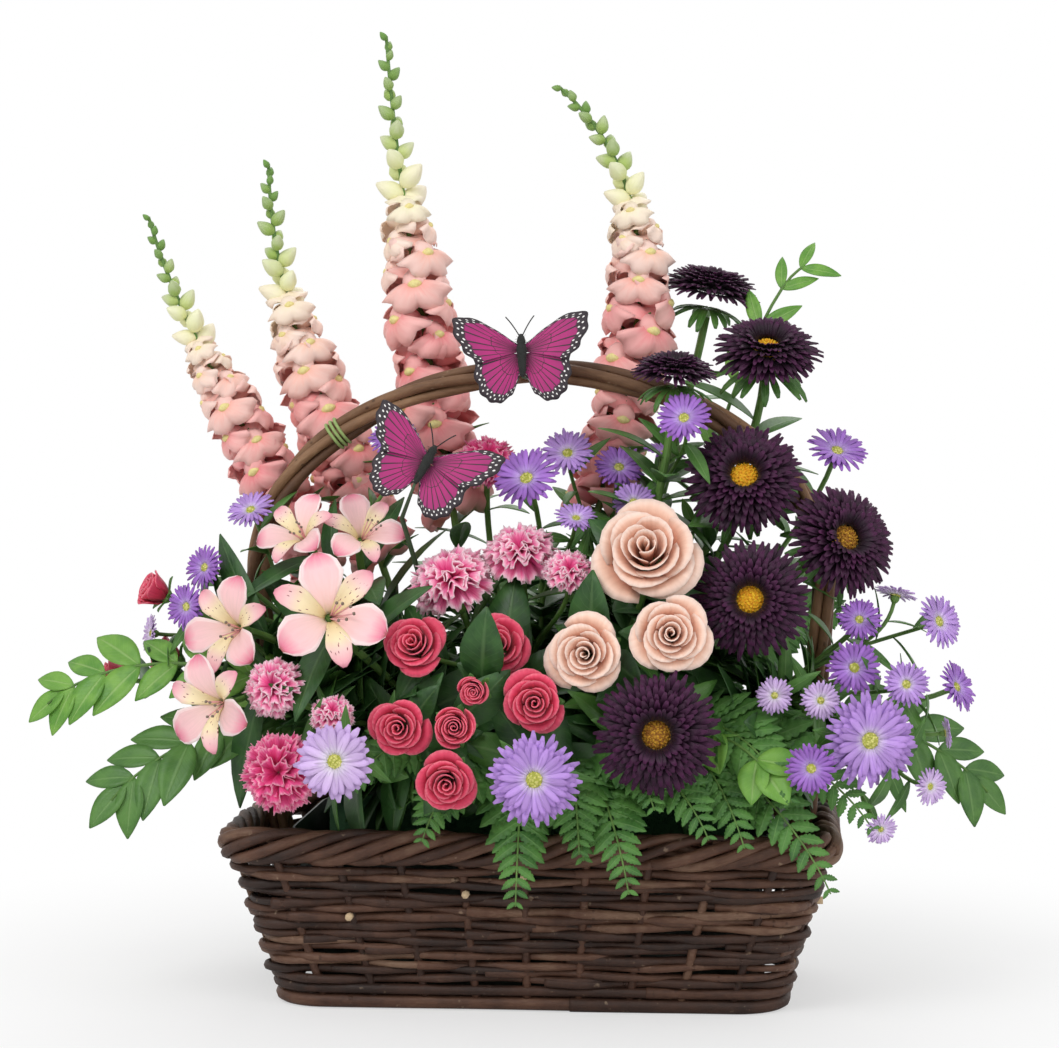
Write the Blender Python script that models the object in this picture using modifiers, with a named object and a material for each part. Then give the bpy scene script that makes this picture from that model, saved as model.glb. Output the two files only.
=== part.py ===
"""Flower basket arrangement: a rectangular willow basket with a twisted arch handle. It holds a plastic
liner with a block of floral foam, and every stem, frond and pick stands in the foam.

Metres, +Z up. The origin is the middle of the basket's underside, and the arrangement faces -Y.
Each plant is one closed tube whose radius grows into the flower's outer shape, so that stem and head are
one piece as they grew. A spray is several such tubes joined where they branch.
"""

import math

import bmesh
import bpy
from mathutils import Matrix, Vector

GAP = 0.0003  # between pieces that touch

# Basket: half lengths of its outside along X and Y at the floor and at the top, and each band of weaving
# as its lowest and highest point, how far it stands out past that outside, and its thickness
FOOT_HALF = Vector((0.1385, 0.0765))
RIM_HALF = Vector((0.1665, 0.1015))
RIM_TOP = 0.100
BANDS = {
    "basket_foot_band": (0.0, 0.014, 0.0015, 0.012),
    "basket_wall": (0.014 + GAP, 0.078, 0.0, 0.008),
    "basket_rim": (0.078 + GAP, RIM_TOP, 0.0025, 0.013),
}
BASE_HALF = Vector((0.1277, 0.0657))
BASE_CORNER = 0.0152
BASE_THICK = 0.006
CORNER_RADIUS = 0.026

# Liner and foam
LINER_FOOT_HALF = Vector((0.116, 0.060))
LINER_RIM_HALF = Vector((0.130, 0.078))
LINER_TOP = 0.094
LINER_WALL = 0.0012
FOAM_HALF = Vector((0.112, 0.054))
FOAM_TOP = 0.112
FOAM_CORNER = 0.018
SOCKET_DEPTH = 0.025
STEM_SPACING = 0.0105

# Handle: four rods twisted round an arch of half an ellipse on two legs
ROD_RADIUS = 0.0028
ROD_COUNT = 4
BUNDLE_RADIUS = (2 * ROD_RADIUS + 0.00035) / math.sqrt(2)
ARCH_HALF_SPAN = 0.158
ARCH_SPRING = 0.226
ARCH_TOP = 0.341
LEG_AT_RIM = 0.1483
LEG_FOOT = Vector((0.1380, 0.0, 0.062))
ARCH_STEPS = 36
ROD_TURNS = 2.25

# Head profiles from stem to front: distance along the axis and radius, both in head radii.
# The last entry is the flat front, FRONT_SHARE of the head's radius wide.
FRONT_SHARE = 0.4
PROFILES = {
    "china_aster": ((-0.62, 0.2), (-0.42, 0.62), (-0.12, 1.0), (0.1, 0.96), (0.22, FRONT_SHARE)),
    "daisy": ((-0.4, 0.1), (-0.2, 0.36), (-0.08, 1.0), (0.03, 1.0), (0.12, FRONT_SHARE)),
    "rose": ((-0.95, 0.25), (-0.72, 0.66), (-0.15, 1.0), (0.32, 0.86), (0.5, FRONT_SHARE)),
    "carnation": ((-1.25, 0.17), (-0.55, 0.27), (-0.22, 0.86), (0.08, 1.0), (0.34, FRONT_SHARE)),
    "alstroemeria": ((-0.8, 0.12), (-0.5, 0.3), (-0.06, 0.85), (0.14, 1.0), (0.26, FRONT_SHARE)),
}
STEM_RADIUS = {
    "china_aster": 0.0024,
    "daisy": 0.0015,
    "rose": 0.0019,
    "carnation": 0.0018,
    "alstroemeria": 0.0022,
    "snapdragon": 0.0026,
    "frond": 0.0016,
}
HEAD_SIDES = {"china_aster": 8, "daisy": 6, "rose": 8, "carnation": 8, "alstroemeria": 8}
BRANCH_SHARE = 0.75  # of a branch's thickness to its main stem's
FORK_AT = 0.5  # where a spray's branches leave its main stem, as a share of the main stem's route
BEND = 0.36  # how far a stem's route runs straight at each end, as a share of its length
STEM_STEPS = 4

# Colours: base colour, roughness
COLOURS = {
    "willow": ((0.20, 0.10, 0.055), 0.6),
    "willow_handle": ((0.33, 0.17, 0.08), 0.5),
    "liner": ((0.03, 0.05, 0.03), 0.45),
    "foam": ((0.06, 0.16, 0.07), 0.95),
    "china_aster": ((0.055, 0.006, 0.045), 0.6),
    "daisy": ((0.42, 0.22, 0.70), 0.6),
    "rose_coral": ((0.78, 0.08, 0.13), 0.55),
    "rose_peach": ((0.93, 0.60, 0.47), 0.55),
    "carnation": ((0.80, 0.15, 0.38), 0.6),
    "alstroemeria": ((0.86, 0.50, 0.48), 0.55),
    "snapdragon": ((0.92, 0.36, 0.36), 0.6),
    "foliage": ((0.07, 0.20, 0.035), 0.5),
    "butterfly_wing": ((0.55, 0.02, 0.22), 0.6),
    "butterfly_body": ((0.03, 0.045, 0.03), 0.8),
}

# The planting plan. A head is its middle, the way it faces, and its radius.
CHINA_ASTERS = (
    ((0.094, 0.072, 0.390), (0.20, -0.15, 0.97), 0.028),
    ((0.126, 0.012, 0.354), (0.08, -0.55, 0.83), 0.029),
    ((0.076, -0.028, 0.342), (0.05, -0.20, 0.97), 0.022),
    ((0.114, -0.030, 0.284), (0.02, -0.88, 0.47), 0.031),
    ((0.168, -0.036, 0.251), (0.45, -0.80, 0.35), 0.030),
    ((0.118, -0.078, 0.221), (-0.02, -0.98, 0.12), 0.030),
    ((0.071, -0.126, 0.155), (0.00, -0.99, 0.05), 0.031),
)
LARGE_DAISIES = (
    ((-0.092, -0.146, 0.142), (-0.05, -0.99, 0.10), 0.0200),
    ((0.010, -0.147, 0.134), (0.08, -0.98, 0.05), 0.0235),
    ((0.180, -0.100, 0.150), (0.25, -0.96, 0.05), 0.0245),
)
DAISY_SPRAYS = {
    "aster_spray_left": (
        ((-0.180, -0.040, 0.234), (-0.50, -0.80, 0.25), 0.0125),
        ((-0.157, -0.026, 0.265), (-0.20, -0.65, 0.70), 0.0135),
        ((-0.186, -0.060, 0.214), (-0.45, -0.85, 0.10), 0.0125),
        ((-0.212, -0.030, 0.197), (-0.85, -0.45, 0.15), 0.0105),
        ((-0.080, -0.010, 0.304), (-0.10, -0.60, 0.75), 0.0140),
    ),
    "aster_spray_centre": (
        ((-0.004, -0.032, 0.283), (-0.15, -0.80, 0.55), 0.0185),
        ((0.024, -0.046, 0.262), (0.15, -0.60, 0.78), 0.0115),
    ),
    "aster_spray_back": (
        ((0.044, 0.010, 0.288), (0.10, -0.75, 0.60), 0.0145),
        ((0.016, 0.000, 0.296), (0.00, -0.80, 0.60), 0.0150),
        ((0.069, 0.010, 0.296), (0.25, -0.25, 0.93), 0.0120),
        ((0.054, -0.026, 0.270), (0.05, -0.85, 0.50), 0.0120),
        ((0.082, -0.047, 0.316), (-0.10, -0.85, 0.50), 0.0150),
    ),
    "aster_stem_right_high": (((0.165, 0.030, 0.297), (0.25, -0.60, 0.75), 0.0175),),
    "aster_spray_right_upper": (
        ((0.176, -0.042, 0.208), (0.10, -0.90, 0.40), 0.0120),
        ((0.196, -0.022, 0.220), (0.20, 0.30, 0.90), 0.0115),
        ((0.219, -0.026, 0.206), (0.65, -0.65, 0.30), 0.0150),
    ),
    "aster_spray_right_middle": (
        ((0.173, -0.062, 0.184), (0.00, -0.95, 0.30), 0.0145),
        ((0.131, -0.082, 0.171), (-0.10, -0.98, 0.15), 0.0100),
        ((0.155, -0.086, 0.169), (0.05, -0.98, 0.15), 0.0105),
        ((0.200, -0.068, 0.176), (0.25, -0.92, 0.30), 0.0125),
        ((0.150, -0.114, 0.137), (-0.15, -0.96, -0.05), 0.0135),
        ((0.186, -0.100, 0.104), (0.30, -0.88, -0.30), 0.0085),
    ),
    "aster_spray_right_outer": (
        ((0.229, -0.020, 0.170), (0.75, -0.50, 0.40), 0.0140),
        ((0.222, -0.046, 0.148), (0.80, 0.10, 0.10), 0.0085),
        ((0.212, -0.082, 0.124), (0.60, -0.78, 0.00), 0.0100),
    ),
}
CORAL_ROSES = {
    "rose_coral_1": (
        ((-0.013, -0.096, 0.197), (0.00, -0.95, 0.30), 0.0165),
        ((-0.057, -0.100, 0.198), (-0.15, -0.90, 0.35), 0.0155),
        ((-0.023, -0.120, 0.176), (-0.10, -0.90, -0.10), 0.0090),
        ((0.008, -0.120, 0.170), (0.05, -0.98, 0.10), 0.0155),
    ),
    "rose_coral_2": (
        ((-0.062, -0.124, 0.157), (-0.05, -0.98, 0.05), 0.0145),
        ((-0.033, -0.126, 0.158), (0.05, -0.98, 0.05), 0.0120),
        ((-0.036, -0.134, 0.130), (0.05, -0.96, -0.10), 0.0145),
    ),
    "rose_coral_3": (
        ((-0.207, -0.048, 0.222), (-0.80, -0.40, 0.45), 0.0115),
        ((-0.234, -0.030, 0.172), (-0.92, -0.30, 0.15), 0.0120),
        ((-0.206, -0.024, 0.184), (-0.80, -0.10, 0.35), 0.0120),
    ),
}
PEACH_ROSES = {
    "rose_peach_1": (((0.064, -0.090, 0.247), (-0.02, -0.93, 0.36), 0.0270),),
    "rose_peach_2": (
        ((0.078, -0.118, 0.206), (0.05, -0.97, 0.15), 0.0195),
        ((0.034, -0.116, 0.195), (-0.05, -0.98, 0.10), 0.0190),
    ),
}
CARNATIONS = {
    "carnation_1": (((-0.044, -0.068, 0.236), (-0.25, -0.50, 0.83), 0.0210),),
    "carnation_2": (
        ((-0.006, -0.058, 0.250), (-0.05, -0.50, 0.85), 0.0185),
        ((0.023, -0.076, 0.239), (0.10, -0.60, 0.78), 0.0130),
    ),
    "carnation_3": (
        ((-0.132, -0.112, 0.178), (-0.30, -0.85, 0.42), 0.0150),
        ((-0.098, -0.116, 0.166), (0.10, -0.60, 0.75), 0.0110),
    ),
    "carnation_4": (((-0.126, -0.128, 0.133), (-0.15, -0.95, 0.05), 0.0190),),
    "carnation_5": (((-0.030, 0.020, 0.296), (0.10, -0.60, 0.75), 0.0160),),
}
ALSTROEMERIAS = {
    "alstroemeria_1": (((-0.100, -0.112, 0.216), (0.15, -0.93, 0.30), 0.0260),),
    "alstroemeria_2": (
        ((-0.128, -0.052, 0.256), (-0.35, -0.70, 0.60), 0.0190),
        ((-0.092, -0.046, 0.256), (0.20, -0.75, 0.60), 0.0190),
    ),
    "alstroemeria_3": (
        ((-0.160, -0.084, 0.206), (-0.40, -0.85, 0.20), 0.0220),
        ((-0.165, -0.108, 0.166), (-0.45, -0.85, 0.00), 0.0220),
    ),
}
# Snapdragon spikes: the tip, the way the tip points, the widest radius, and where the florets begin
# as a share of the route from the foam
SNAPDRAGONS = (
    ((-0.227, 0.036, 0.430), (-0.22, 0.00, 0.97), 0.021, 0.40),
    ((-0.161, 0.056, 0.461), (0.05, 0.00, 1.00), 0.024, 0.36),
    ((-0.093, 0.060, 0.534), (-0.05, 0.00, 1.00), 0.025, 0.32),
    ((0.006, 0.064, 0.505), (-0.75, 0.00, 0.66), 0.024, 0.34),
)
# Fronds and leafy sprigs: the tip, and the half width of the blade
FRONDS = {
    "fern_front_left": ((0.000, -0.141, 0.068), 0.020),
    "fern_front_centre": ((0.058, -0.146, 0.076), 0.016),
    "fern_front_right": ((0.160, -0.124, 0.074), 0.013),
    "ruscus_left": ((-0.264, -0.056, 0.160), 0.015),
    "ruscus_left_low": ((-0.222, -0.086, 0.112), 0.016),
    "ruscus_right": ((0.250, 0.030, 0.106), 0.016),
    "ruscus_top": ((0.152, 0.056, 0.400), 0.012),
    "leaf_sprig_right": ((0.128, -0.106, 0.132), 0.010),
    "fern_back_left": ((-0.140, 0.125, 0.190), 0.024),
    "fern_back_middle": ((-0.010, 0.140, 0.230), 0.026),
    "fern_back_right": ((0.120, 0.125, 0.180), 0.024),
}
FROND_THICKNESS = 0.16  # of a frond's width
# Plants that enter the foam somewhere else than below their heads, to pass clear of the handle
OWN_ENTRIES = {
    "rose_coral_3": (-0.100, -0.036),
    "aster_spray_left": (-0.090, -0.040),
    "aster_spray_right_upper": (0.100, -0.022),
    "aster_spray_right_middle": (0.080, -0.030),
    "large_daisy_3": (0.088, -0.046),
    "aster_spray_right_outer": (0.100, -0.036),
    "ruscus_left": (-0.100, -0.046),
    "ruscus_right": (0.104, 0.032),
}

# Craft butterflies: where the wings meet, the way they face, the roll about that way in degrees
BUTTERFLIES = {
    "upper": (Vector((-0.007, -0.026, 0.349)), Vector((0.05, -0.97, 0.22)), 3.0),
    "lower": (Vector((-0.056, -0.060, 0.290)), Vector((0.10, -0.93, 0.35)), -27.0),
}
BUTTERFLY_BODY_LENGTH = 0.024
BUTTERFLY_BODY_RADIUS = 0.0030
WING_THICKNESS = 0.0008
WIRE_RADIUS = 0.0007
PICK_RADIUS = 0.0015
# Half of the wing outline, right side, from the head round to the tail: X out, Y towards the head
WING_HALF = (
    (0.0005, 0.006), (0.010, 0.013), (0.022, 0.021), (0.034, 0.024), (0.038, 0.020), (0.035, 0.010),
    (0.030, 0.002), (0.024, -0.003), (0.026, -0.012), (0.022, -0.022), (0.014, -0.026), (0.006, -0.021),
    (0.0005, -0.008),
)


def clear_scene():
    for obj in list(bpy.data.objects):
        bpy.data.objects.remove(obj)


def new_collection(name):
    made = bpy.data.collections.new(name)
    bpy.context.scene.collection.children.link(made)
    return made


def material(name):
    """The Principled material of that name, made once."""
    found = bpy.data.materials.get(name)
    if found:
        return found
    colour, roughness = COLOURS[name]
    made = bpy.data.materials.new(name)
    made.use_nodes = True
    shader = made.node_tree.nodes["Principled BSDF"]
    shader.inputs["Base Color"].default_value = (*colour, 1.0)
    shader.inputs["Roughness"].default_value = roughness
    shader.inputs["Metallic"].default_value = 0.0
    return made


def add_object(name, data, finish, place):
    obj = bpy.data.objects.new(name, data)
    data.materials.append(material(finish))
    place.objects.link(obj)
    return obj


def add_mesh(name, bm, finish, place):
    mesh = bpy.data.meshes.new(name)
    bm.to_mesh(mesh)
    bm.free()
    return add_object(name, mesh, finish, place)


def frustum(low, low_half, high, high_half, corner):
    """A closed rectangular frustum with rounded upright edges, between two heights."""
    bm = bmesh.new()
    bmesh.ops.create_cube(bm, size=2.0)
    for vert in bm.verts:
        half, z = (low_half, low) if vert.co.z < 0 else (high_half, high)
        vert.co = Vector((math.copysign(half.x, vert.co.x), math.copysign(half.y, vert.co.y), z))
    upright = [e for e in bm.edges if abs(e.verts[0].co.z - e.verts[1].co.z) > (high - low) / 2]
    bmesh.ops.bevel(bm, geom=upright, offset=corner, segments=4, profile=0.5, affect="EDGES")
    return bm


def hide(obj):
    """Marks a cutter or a guide, which isn't a piece of the arrangement."""
    obj.hide_render = True
    obj.display_type = "WIRE"


def sloped_block(low, high, proud):
    """A solid block with the slope of the basket's sides, standing out past them by proud."""
    halves = [FOOT_HALF.lerp(RIM_HALF, z / RIM_TOP) + Vector((proud, proud)) for z in (low, high)]
    return frustum(low, halves[0], high, halves[1], CORNER_RADIUS + proud)


def make_basket(place, cutters):
    base = frustum(0, BASE_HALF, BASE_THICK, BASE_HALF, BASE_CORNER)
    add_mesh("basket_base", base, "willow", place)
    through = 0.005
    for name, (low, high, proud, thick) in BANDS.items():
        band = add_mesh(name, sloped_block(low, high, proud), "willow", place)
        inside = sloped_block(low - through, high + through, proud - thick)
        cutter = add_mesh(f"{name}_inside", inside, "willow", cutters)
        hide(cutter)
        cut = band.modifiers.new("inside", "BOOLEAN")
        cut.operation = "DIFFERENCE"
        cut.object = cutter


def make_liner_and_foam(place, sockets):
    floor = BASE_THICK + GAP
    bm = frustum(floor, LINER_FOOT_HALF, LINER_TOP, LINER_RIM_HALF, CORNER_RADIUS)
    bm.normal_update()
    bmesh.ops.delete(bm, geom=[f for f in bm.faces if f.normal.z > 0.9], context="FACES")
    wall = add_mesh("liner_tray", bm, "liner", place).modifiers.new("wall", "SOLIDIFY")
    wall.thickness = LINER_WALL
    wall.offset = -1.0
    wall.use_even_offset = True

    bm = frustum(floor + LINER_WALL + GAP, FOAM_HALF, FOAM_TOP, FOAM_HALF, FOAM_CORNER)
    foam = add_mesh("floral_foam", bm, "foam", place)
    cut = foam.modifiers.new("sockets", "BOOLEAN")
    cut.operation = "DIFFERENCE"
    cut.object = sockets


def socket_cutter(entries, place):
    """One mesh with an upright prism round every stem's foot, a little wider than the stem."""
    bm = bmesh.new()
    above = 0.004
    deep = SOCKET_DEPTH + GAP
    for x, y, radius in entries:
        turn = Matrix.Translation((x, y, FOAM_TOP + (above - deep) / 2))
        bmesh.ops.create_cone(
            bm, cap_ends=True, segments=8, radius1=(radius + GAP) * 1.09, radius2=(radius + GAP) * 1.09,
            depth=deep + above, matrix=turn,
        )
    cutter = add_mesh("stem_sockets", bm, "foam", place)
    hide(cutter)
    return cutter


def tube(name, points, radii, sides, finish, place):
    """A closed tube through the points, with its own radius at each point."""
    curve = bpy.data.curves.new(name, "CURVE")
    curve.dimensions = "3D"
    curve.bevel_depth = 1.0
    curve.bevel_resolution = sides // 2 - 2
    curve.use_fill_caps = True
    spline = curve.splines.new("POLY")
    spline.points.add(len(points) - 1)
    for knot, point, radius in zip(spline.points, points, radii):
        knot.co = (*point, 1.0)
        knot.radius = radius
    return add_object(name, curve, finish, place)


def bezier(a, b, c, d, t):
    s = 1 - t
    return a * s**3 + b * (3 * s * s * t) + c * (3 * s * t * t) + d * t**3


def tangent(a, b, c, d, t):
    s = 1 - t
    return ((b - a) * (s * s) + (c - b) * (2 * s * t) + (d - c) * (t * t)).normalized()


def stem_controls(start, start_way, end, end_way):
    """A stem leaves one end straight, and arrives at the other along the flower's axis."""
    reach = (end - start).length * BEND
    return start, start + start_way * reach, end - end_way * reach, end


def head_stations(kind, head):
    """The points and radii of a head, from the end of its stem to its flat front."""
    middle, facing, radius = Vector(head[0]), Vector(head[1]).normalized(), head[2]
    return [(middle + facing * (along * radius), wide * radius) for along, wide in PROFILES[kind]]


def main_controls(kind, head, entry):
    stations = head_stations(kind, head)
    return stem_controls(entry, Vector((0, 0, 1)), stations[0][0], Vector(head[1]).normalized())


def flower_tube(name, kind, head, controls, foot, finish, place):
    """A stem along its controls, from a foot in the foam or as a thinner branch, and the head at its end."""
    stem = STEM_RADIUS[kind] * (1 if foot else BRANCH_SHARE)
    route = [bezier(*controls, step / STEM_STEPS) for step in range(STEM_STEPS)]
    points = ([foot] if foot else []) + route
    radii = [stem] * len(points)
    for point, radius in head_stations(kind, head):
        points.append(point)
        radii.append(radius)
    return tube(name, points, radii, HEAD_SIDES[kind], finish, place)


def as_mesh(obj, place):
    """The object's evaluated shape as a welded mesh object, which replaces it."""
    graph = bpy.context.evaluated_depsgraph_get()
    mesh = bpy.data.meshes.new_from_object(obj.evaluated_get(graph))
    bm = bmesh.new()
    bm.from_mesh(mesh)
    bmesh.ops.remove_doubles(bm, verts=bm.verts, dist=0.00002)
    bm.to_mesh(mesh)
    bm.free()
    name, matrix = obj.name, obj.matrix_world.copy()
    bpy.data.objects.remove(obj)
    made = bpy.data.objects.new(name, mesh)
    made.matrix_world = matrix
    place.objects.link(made)
    return made


def make_flower(name, kind, heads, entry, finish, place, cutters):
    """A single flower, or a spray whose further heads branch off the first one's stem."""
    foot = entry - Vector((0, 0, SOCKET_DEPTH))
    controls = main_controls(kind, heads[0], entry)
    main = flower_tube(name, kind, heads[0], controls, foot, finish, place)
    if len(heads) == 1:
        return
    bpy.context.view_layer.update()
    main = as_mesh(main, place)
    fork, way = bezier(*controls, FORK_AT), tangent(*controls, FORK_AT)
    for number, head in enumerate(heads[1:], 2):
        end = head_stations(kind, head)[0][0]
        arm = stem_controls(fork, way, end, Vector(head[1]).normalized())
        branch = flower_tube(f"{name}_branch_{number}", kind, head, arm, None, finish, cutters)
        bpy.context.view_layer.update()
        branch = as_mesh(branch, cutters)
        hide(branch)
        join = main.modifiers.new(f"branch_{number}", "BOOLEAN")
        join.operation = "UNION"
        join.object = branch


def make_snapdragon(name, spike, entry, place):
    """A spike: a bare stem, then florets that are widest near the bottom and shrink to the tip."""
    tip, way, widest, bare = Vector(spike[0]), Vector(spike[1]).normalized(), spike[2], spike[3]
    controls = stem_controls(entry, Vector((0, 0, 1)), tip, way)
    stem = STEM_RADIUS["snapdragon"]
    points, radii = [entry - Vector((0, 0, SOCKET_DEPTH))], [stem]
    steps = 13
    for step in range(steps):
        t = step / (steps - 1)
        points.append(bezier(*controls, t))
        if t < bare:
            radii.append(stem)
        else:
            share = (t - bare) / (1 - bare)
            radii.append(widest * min(1.0, 0.62 + 2.4 * share) * (1 - 0.86 * share**1.35))
    tube(name, points, radii, 8, "snapdragon", place)


def leaf_profile(place):
    """The flat lens that a frond's curve carries along, of half width 1."""
    curve = bpy.data.curves.new("leaf_profile", "CURVE")
    curve.dimensions = "2D"
    curve.fill_mode = "NONE"
    spline = curve.splines.new("POLY")
    spline.points.add(5)
    thin = FROND_THICKNESS
    corners = ((1, 0), (0.45, -thin), (-0.45, -thin), (-1, 0), (-0.45, thin), (0.45, thin))
    for knot, (x, y) in zip(spline.points, corners):
        knot.co = (x, y, 0, 1)
    spline.use_cyclic_u = True
    profile = bpy.data.objects.new("leaf_profile", curve)
    profile.hide_render = True
    place.objects.link(profile)
    return profile


def frond_controls(entry, tip):
    """A frond rises from the foam, arches over, and comes to its tip from above."""
    reach = (tip - entry).length
    rise = Vector((0, 0, reach))
    return entry, entry + rise * 0.45, entry.lerp(tip, 0.75) + rise * 0.3, tip


def make_frond(name, tip, half_width, entry, profile, place):
    """A flat tapering blade on a thin stalk."""
    curve = bpy.data.curves.new(name, "CURVE")
    curve.dimensions = "3D"
    curve.twist_mode = "Z_UP"
    curve.bevel_mode = "OBJECT"
    curve.bevel_object = profile
    curve.use_fill_caps = True
    stalk = STEM_RADIUS["frond"]
    controls = frond_controls(entry, tip)
    steps = 11
    rows = [(entry - Vector((0, 0, SOCKET_DEPTH)), stalk)]
    for step in range(steps):
        t = step / (steps - 1)
        blade = half_width * math.sin(math.pi * min(1.0, max(0.0, (t - 0.35) / 0.65)) ** 0.8)
        rows.append((bezier(*controls, t), max(stalk, blade)))
    spline = curve.splines.new("POLY")
    spline.points.add(len(rows) - 1)
    for knot, (point, radius) in zip(spline.points, rows):
        knot.co = (*point, 1.0)
        knot.radius = radius
    add_object(name, curve, "foliage", place)


def arch_point(share):
    """The handle's centreline, from the left leg's foot (0) over the arch to the right one's (1)."""
    side = -1 if share < 0.5 else 1
    along = 1 - abs(2 * share - 1)
    leg = 0.36
    if along < leg:
        t = along / leg
        foot = LEG_FOOT
        rim = Vector((LEG_AT_RIM, 0, RIM_TOP))
        spring = Vector((ARCH_HALF_SPAN, 0, ARCH_SPRING))
        low = foot.lerp(rim, min(1, t * 3.6)) if t * 3.6 < 1 else rim.lerp(spring, (t - 1 / 3.6) * 3.6 / 2.6)
        return Vector((side * low.x, 0, low.z))
    angle = (along - leg) / (1 - leg) * math.pi / 2
    x = ARCH_HALF_SPAN * math.cos(angle)
    z = ARCH_SPRING + (ARCH_TOP - ARCH_SPRING) * math.sin(angle)
    return Vector((side * x, 0, z))


def make_handle(place):
    """Rods that wind round the arch's centreline at equal spacing."""
    for rod in range(ROD_COUNT):
        points = []
        for step in range(ARCH_STEPS + 1):
            share = step / ARCH_STEPS
            ahead = arch_point(min(1, share + 0.004)) - arch_point(max(0, share - 0.004))
            along = ahead.normalized()
            across = Vector((0, 1, 0))
            up = along.cross(across)
            angle = math.tau * (ROD_TURNS * share + rod / ROD_COUNT)
            points.append(arch_point(share) + (across * math.cos(angle) + up * math.sin(angle)) * BUNDLE_RADIUS)
        tube(f"handle_rod_{rod + 1}", points, [ROD_RADIUS] * len(points), 8, "willow_handle", place)


def butterfly_matrix(key):
    """Wings lie in local XY with the head at +Y, and local +Z is the way they face."""
    middle, facing, roll = BUTTERFLIES[key]
    z = facing.normalized()
    x = Vector((0, 0, 1)).cross(z).normalized()
    turned = Matrix((x, z.cross(x), z)).transposed().to_4x4()
    return Matrix.Translation(middle) @ turned @ Matrix.Rotation(math.radians(roll), 4, "Z")


def make_wings(key, place):
    """Both pairs of wings as one flat outline, just behind the body."""
    curve = bpy.data.curves.new(f"butterfly_{key}_wings", "CURVE")
    curve.dimensions = "2D"
    curve.fill_mode = "BOTH"
    curve.extrude = WING_THICKNESS / 2
    outline = list(WING_HALF) + [(-x, y) for x, y in reversed(WING_HALF)]
    spline = curve.splines.new("POLY")
    spline.points.add(len(outline) - 1)
    for knot, (x, y) in zip(spline.points, outline):
        knot.co = (x, y, 0, 1)
    spline.use_cyclic_u = True
    wings = add_object(f"butterfly_{key}_wings", curve, "butterfly_wing", place)
    wings.matrix_world = butterfly_matrix(key)


def body_stations(key):
    """The body from tail to head, in front of the wings."""
    matrix = butterfly_matrix(key)
    lift = BUTTERFLY_BODY_RADIUS + WING_THICKNESS / 2 + GAP
    rows = ((-0.5, 0.35), (-0.42, 0.7), (-0.1, 0.9), (0.15, 1.0), (0.34, 0.75), (0.42, 0.8), (0.5, 0.4))
    return [
        (matrix @ Vector((0, along * BUTTERFLY_BODY_LENGTH, lift)), wide * BUTTERFLY_BODY_RADIUS)
        for along, wide in rows
    ]


def make_wired_body(place):
    """The upper butterfly's body, on a wire that winds round the handle."""
    stations = body_stations("upper")
    around = BUNDLE_RADIUS + ROD_RADIUS + WIRE_RADIUS + GAP
    turns, steps, pitch = 1.25, 15, 0.0022
    handle_x = stations[0][0].x
    angle_at = math.acos(min(1, abs(handle_x) / ARCH_HALF_SPAN))
    handle_z = ARCH_SPRING + (ARCH_TOP - ARCH_SPRING) * math.sin(angle_at)
    points = []
    for step in range(steps + 1):
        angle = math.tau * turns * (step / steps) + math.radians(2)
        offset = Vector((pitch * step / steps * turns, -math.cos(angle) * around, math.sin(angle) * around))
        points.append(Vector((handle_x, 0, handle_z)) + offset)
    points = points[::-1]
    tail = stations[0][0]
    points.append(points[-1].lerp(tail, 0.5) + Vector((0, -0.001, -0.002)))
    radii = [WIRE_RADIUS] * len(points)
    for point, radius in stations:
        points.append(point)
        radii.append(radius)
    tube("butterfly_upper_body", points, radii, 6, "butterfly_body", place)


def make_picked_body(entry, place):
    """The lower butterfly's body, on a wooden pick that stands in the foam."""
    stations = body_stations("lower")
    tail = stations[0][0]
    points = [entry - Vector((0, 0, SOCKET_DEPTH)), entry, Vector((-0.070, -0.050, 0.262)), tail - Vector((0, 0, 0.004))]
    radii = [PICK_RADIUS, PICK_RADIUS, PICK_RADIUS, WIRE_RADIUS]
    for point, radius in stations:
        points.append(point)
        radii.append(radius)
    tube("butterfly_lower_body", points, radii, 6, "butterfly_body", place)


def planting():
    """Every plant's name with its kind, heads and finish."""
    plants = {f"china_aster_{n}": ("china_aster", (head,), "china_aster") for n, head in enumerate(CHINA_ASTERS, 1)}
    plants |= {f"large_daisy_{n}": ("daisy", (head,), "daisy") for n, head in enumerate(LARGE_DAISIES, 1)}
    groups = (
        (DAISY_SPRAYS, "daisy", "daisy"),
        (CORAL_ROSES, "rose", "rose_coral"),
        (PEACH_ROSES, "rose", "rose_peach"),
        (CARNATIONS, "carnation", "carnation"),
        (ALSTROEMERIAS, "alstroemeria", "alstroemeria"),
    )
    for group, kind, finish in groups:
        plants |= {name: (kind, heads, finish) for name, heads in group.items()}
    return plants


def spread_entries(wanted, spacing):
    """Foam entry points near the wanted ones, pushed apart until each pair keeps its spacing."""
    spots = {name: Vector(spot) for name, spot in wanted.items()}
    names = list(spots)
    limit = FOAM_HALF - Vector((0.007, 0.007))
    for _ in range(400):
        for i, a in enumerate(names):
            for b in names[i + 1:]:
                apart = spots[b] - spots[a]
                short = spacing - apart.length
                if short > 0:
                    push = (apart.normalized() if apart.length > 1e-6 else Vector((1, 0))) * (short / 2 + 1e-5)
                    spots[a] -= push
                    spots[b] += push
        for name in names:
            spots[name] = Vector([max(-m, min(m, c)) for c, m in zip(spots[name], limit)])
    return spots


def entry_for(x, y):
    """Where a stem that ends over x, y wants to enter the foam: the plan of the heads, shrunk."""
    return (x * 0.44, (y + 0.035) * 0.44)


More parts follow.
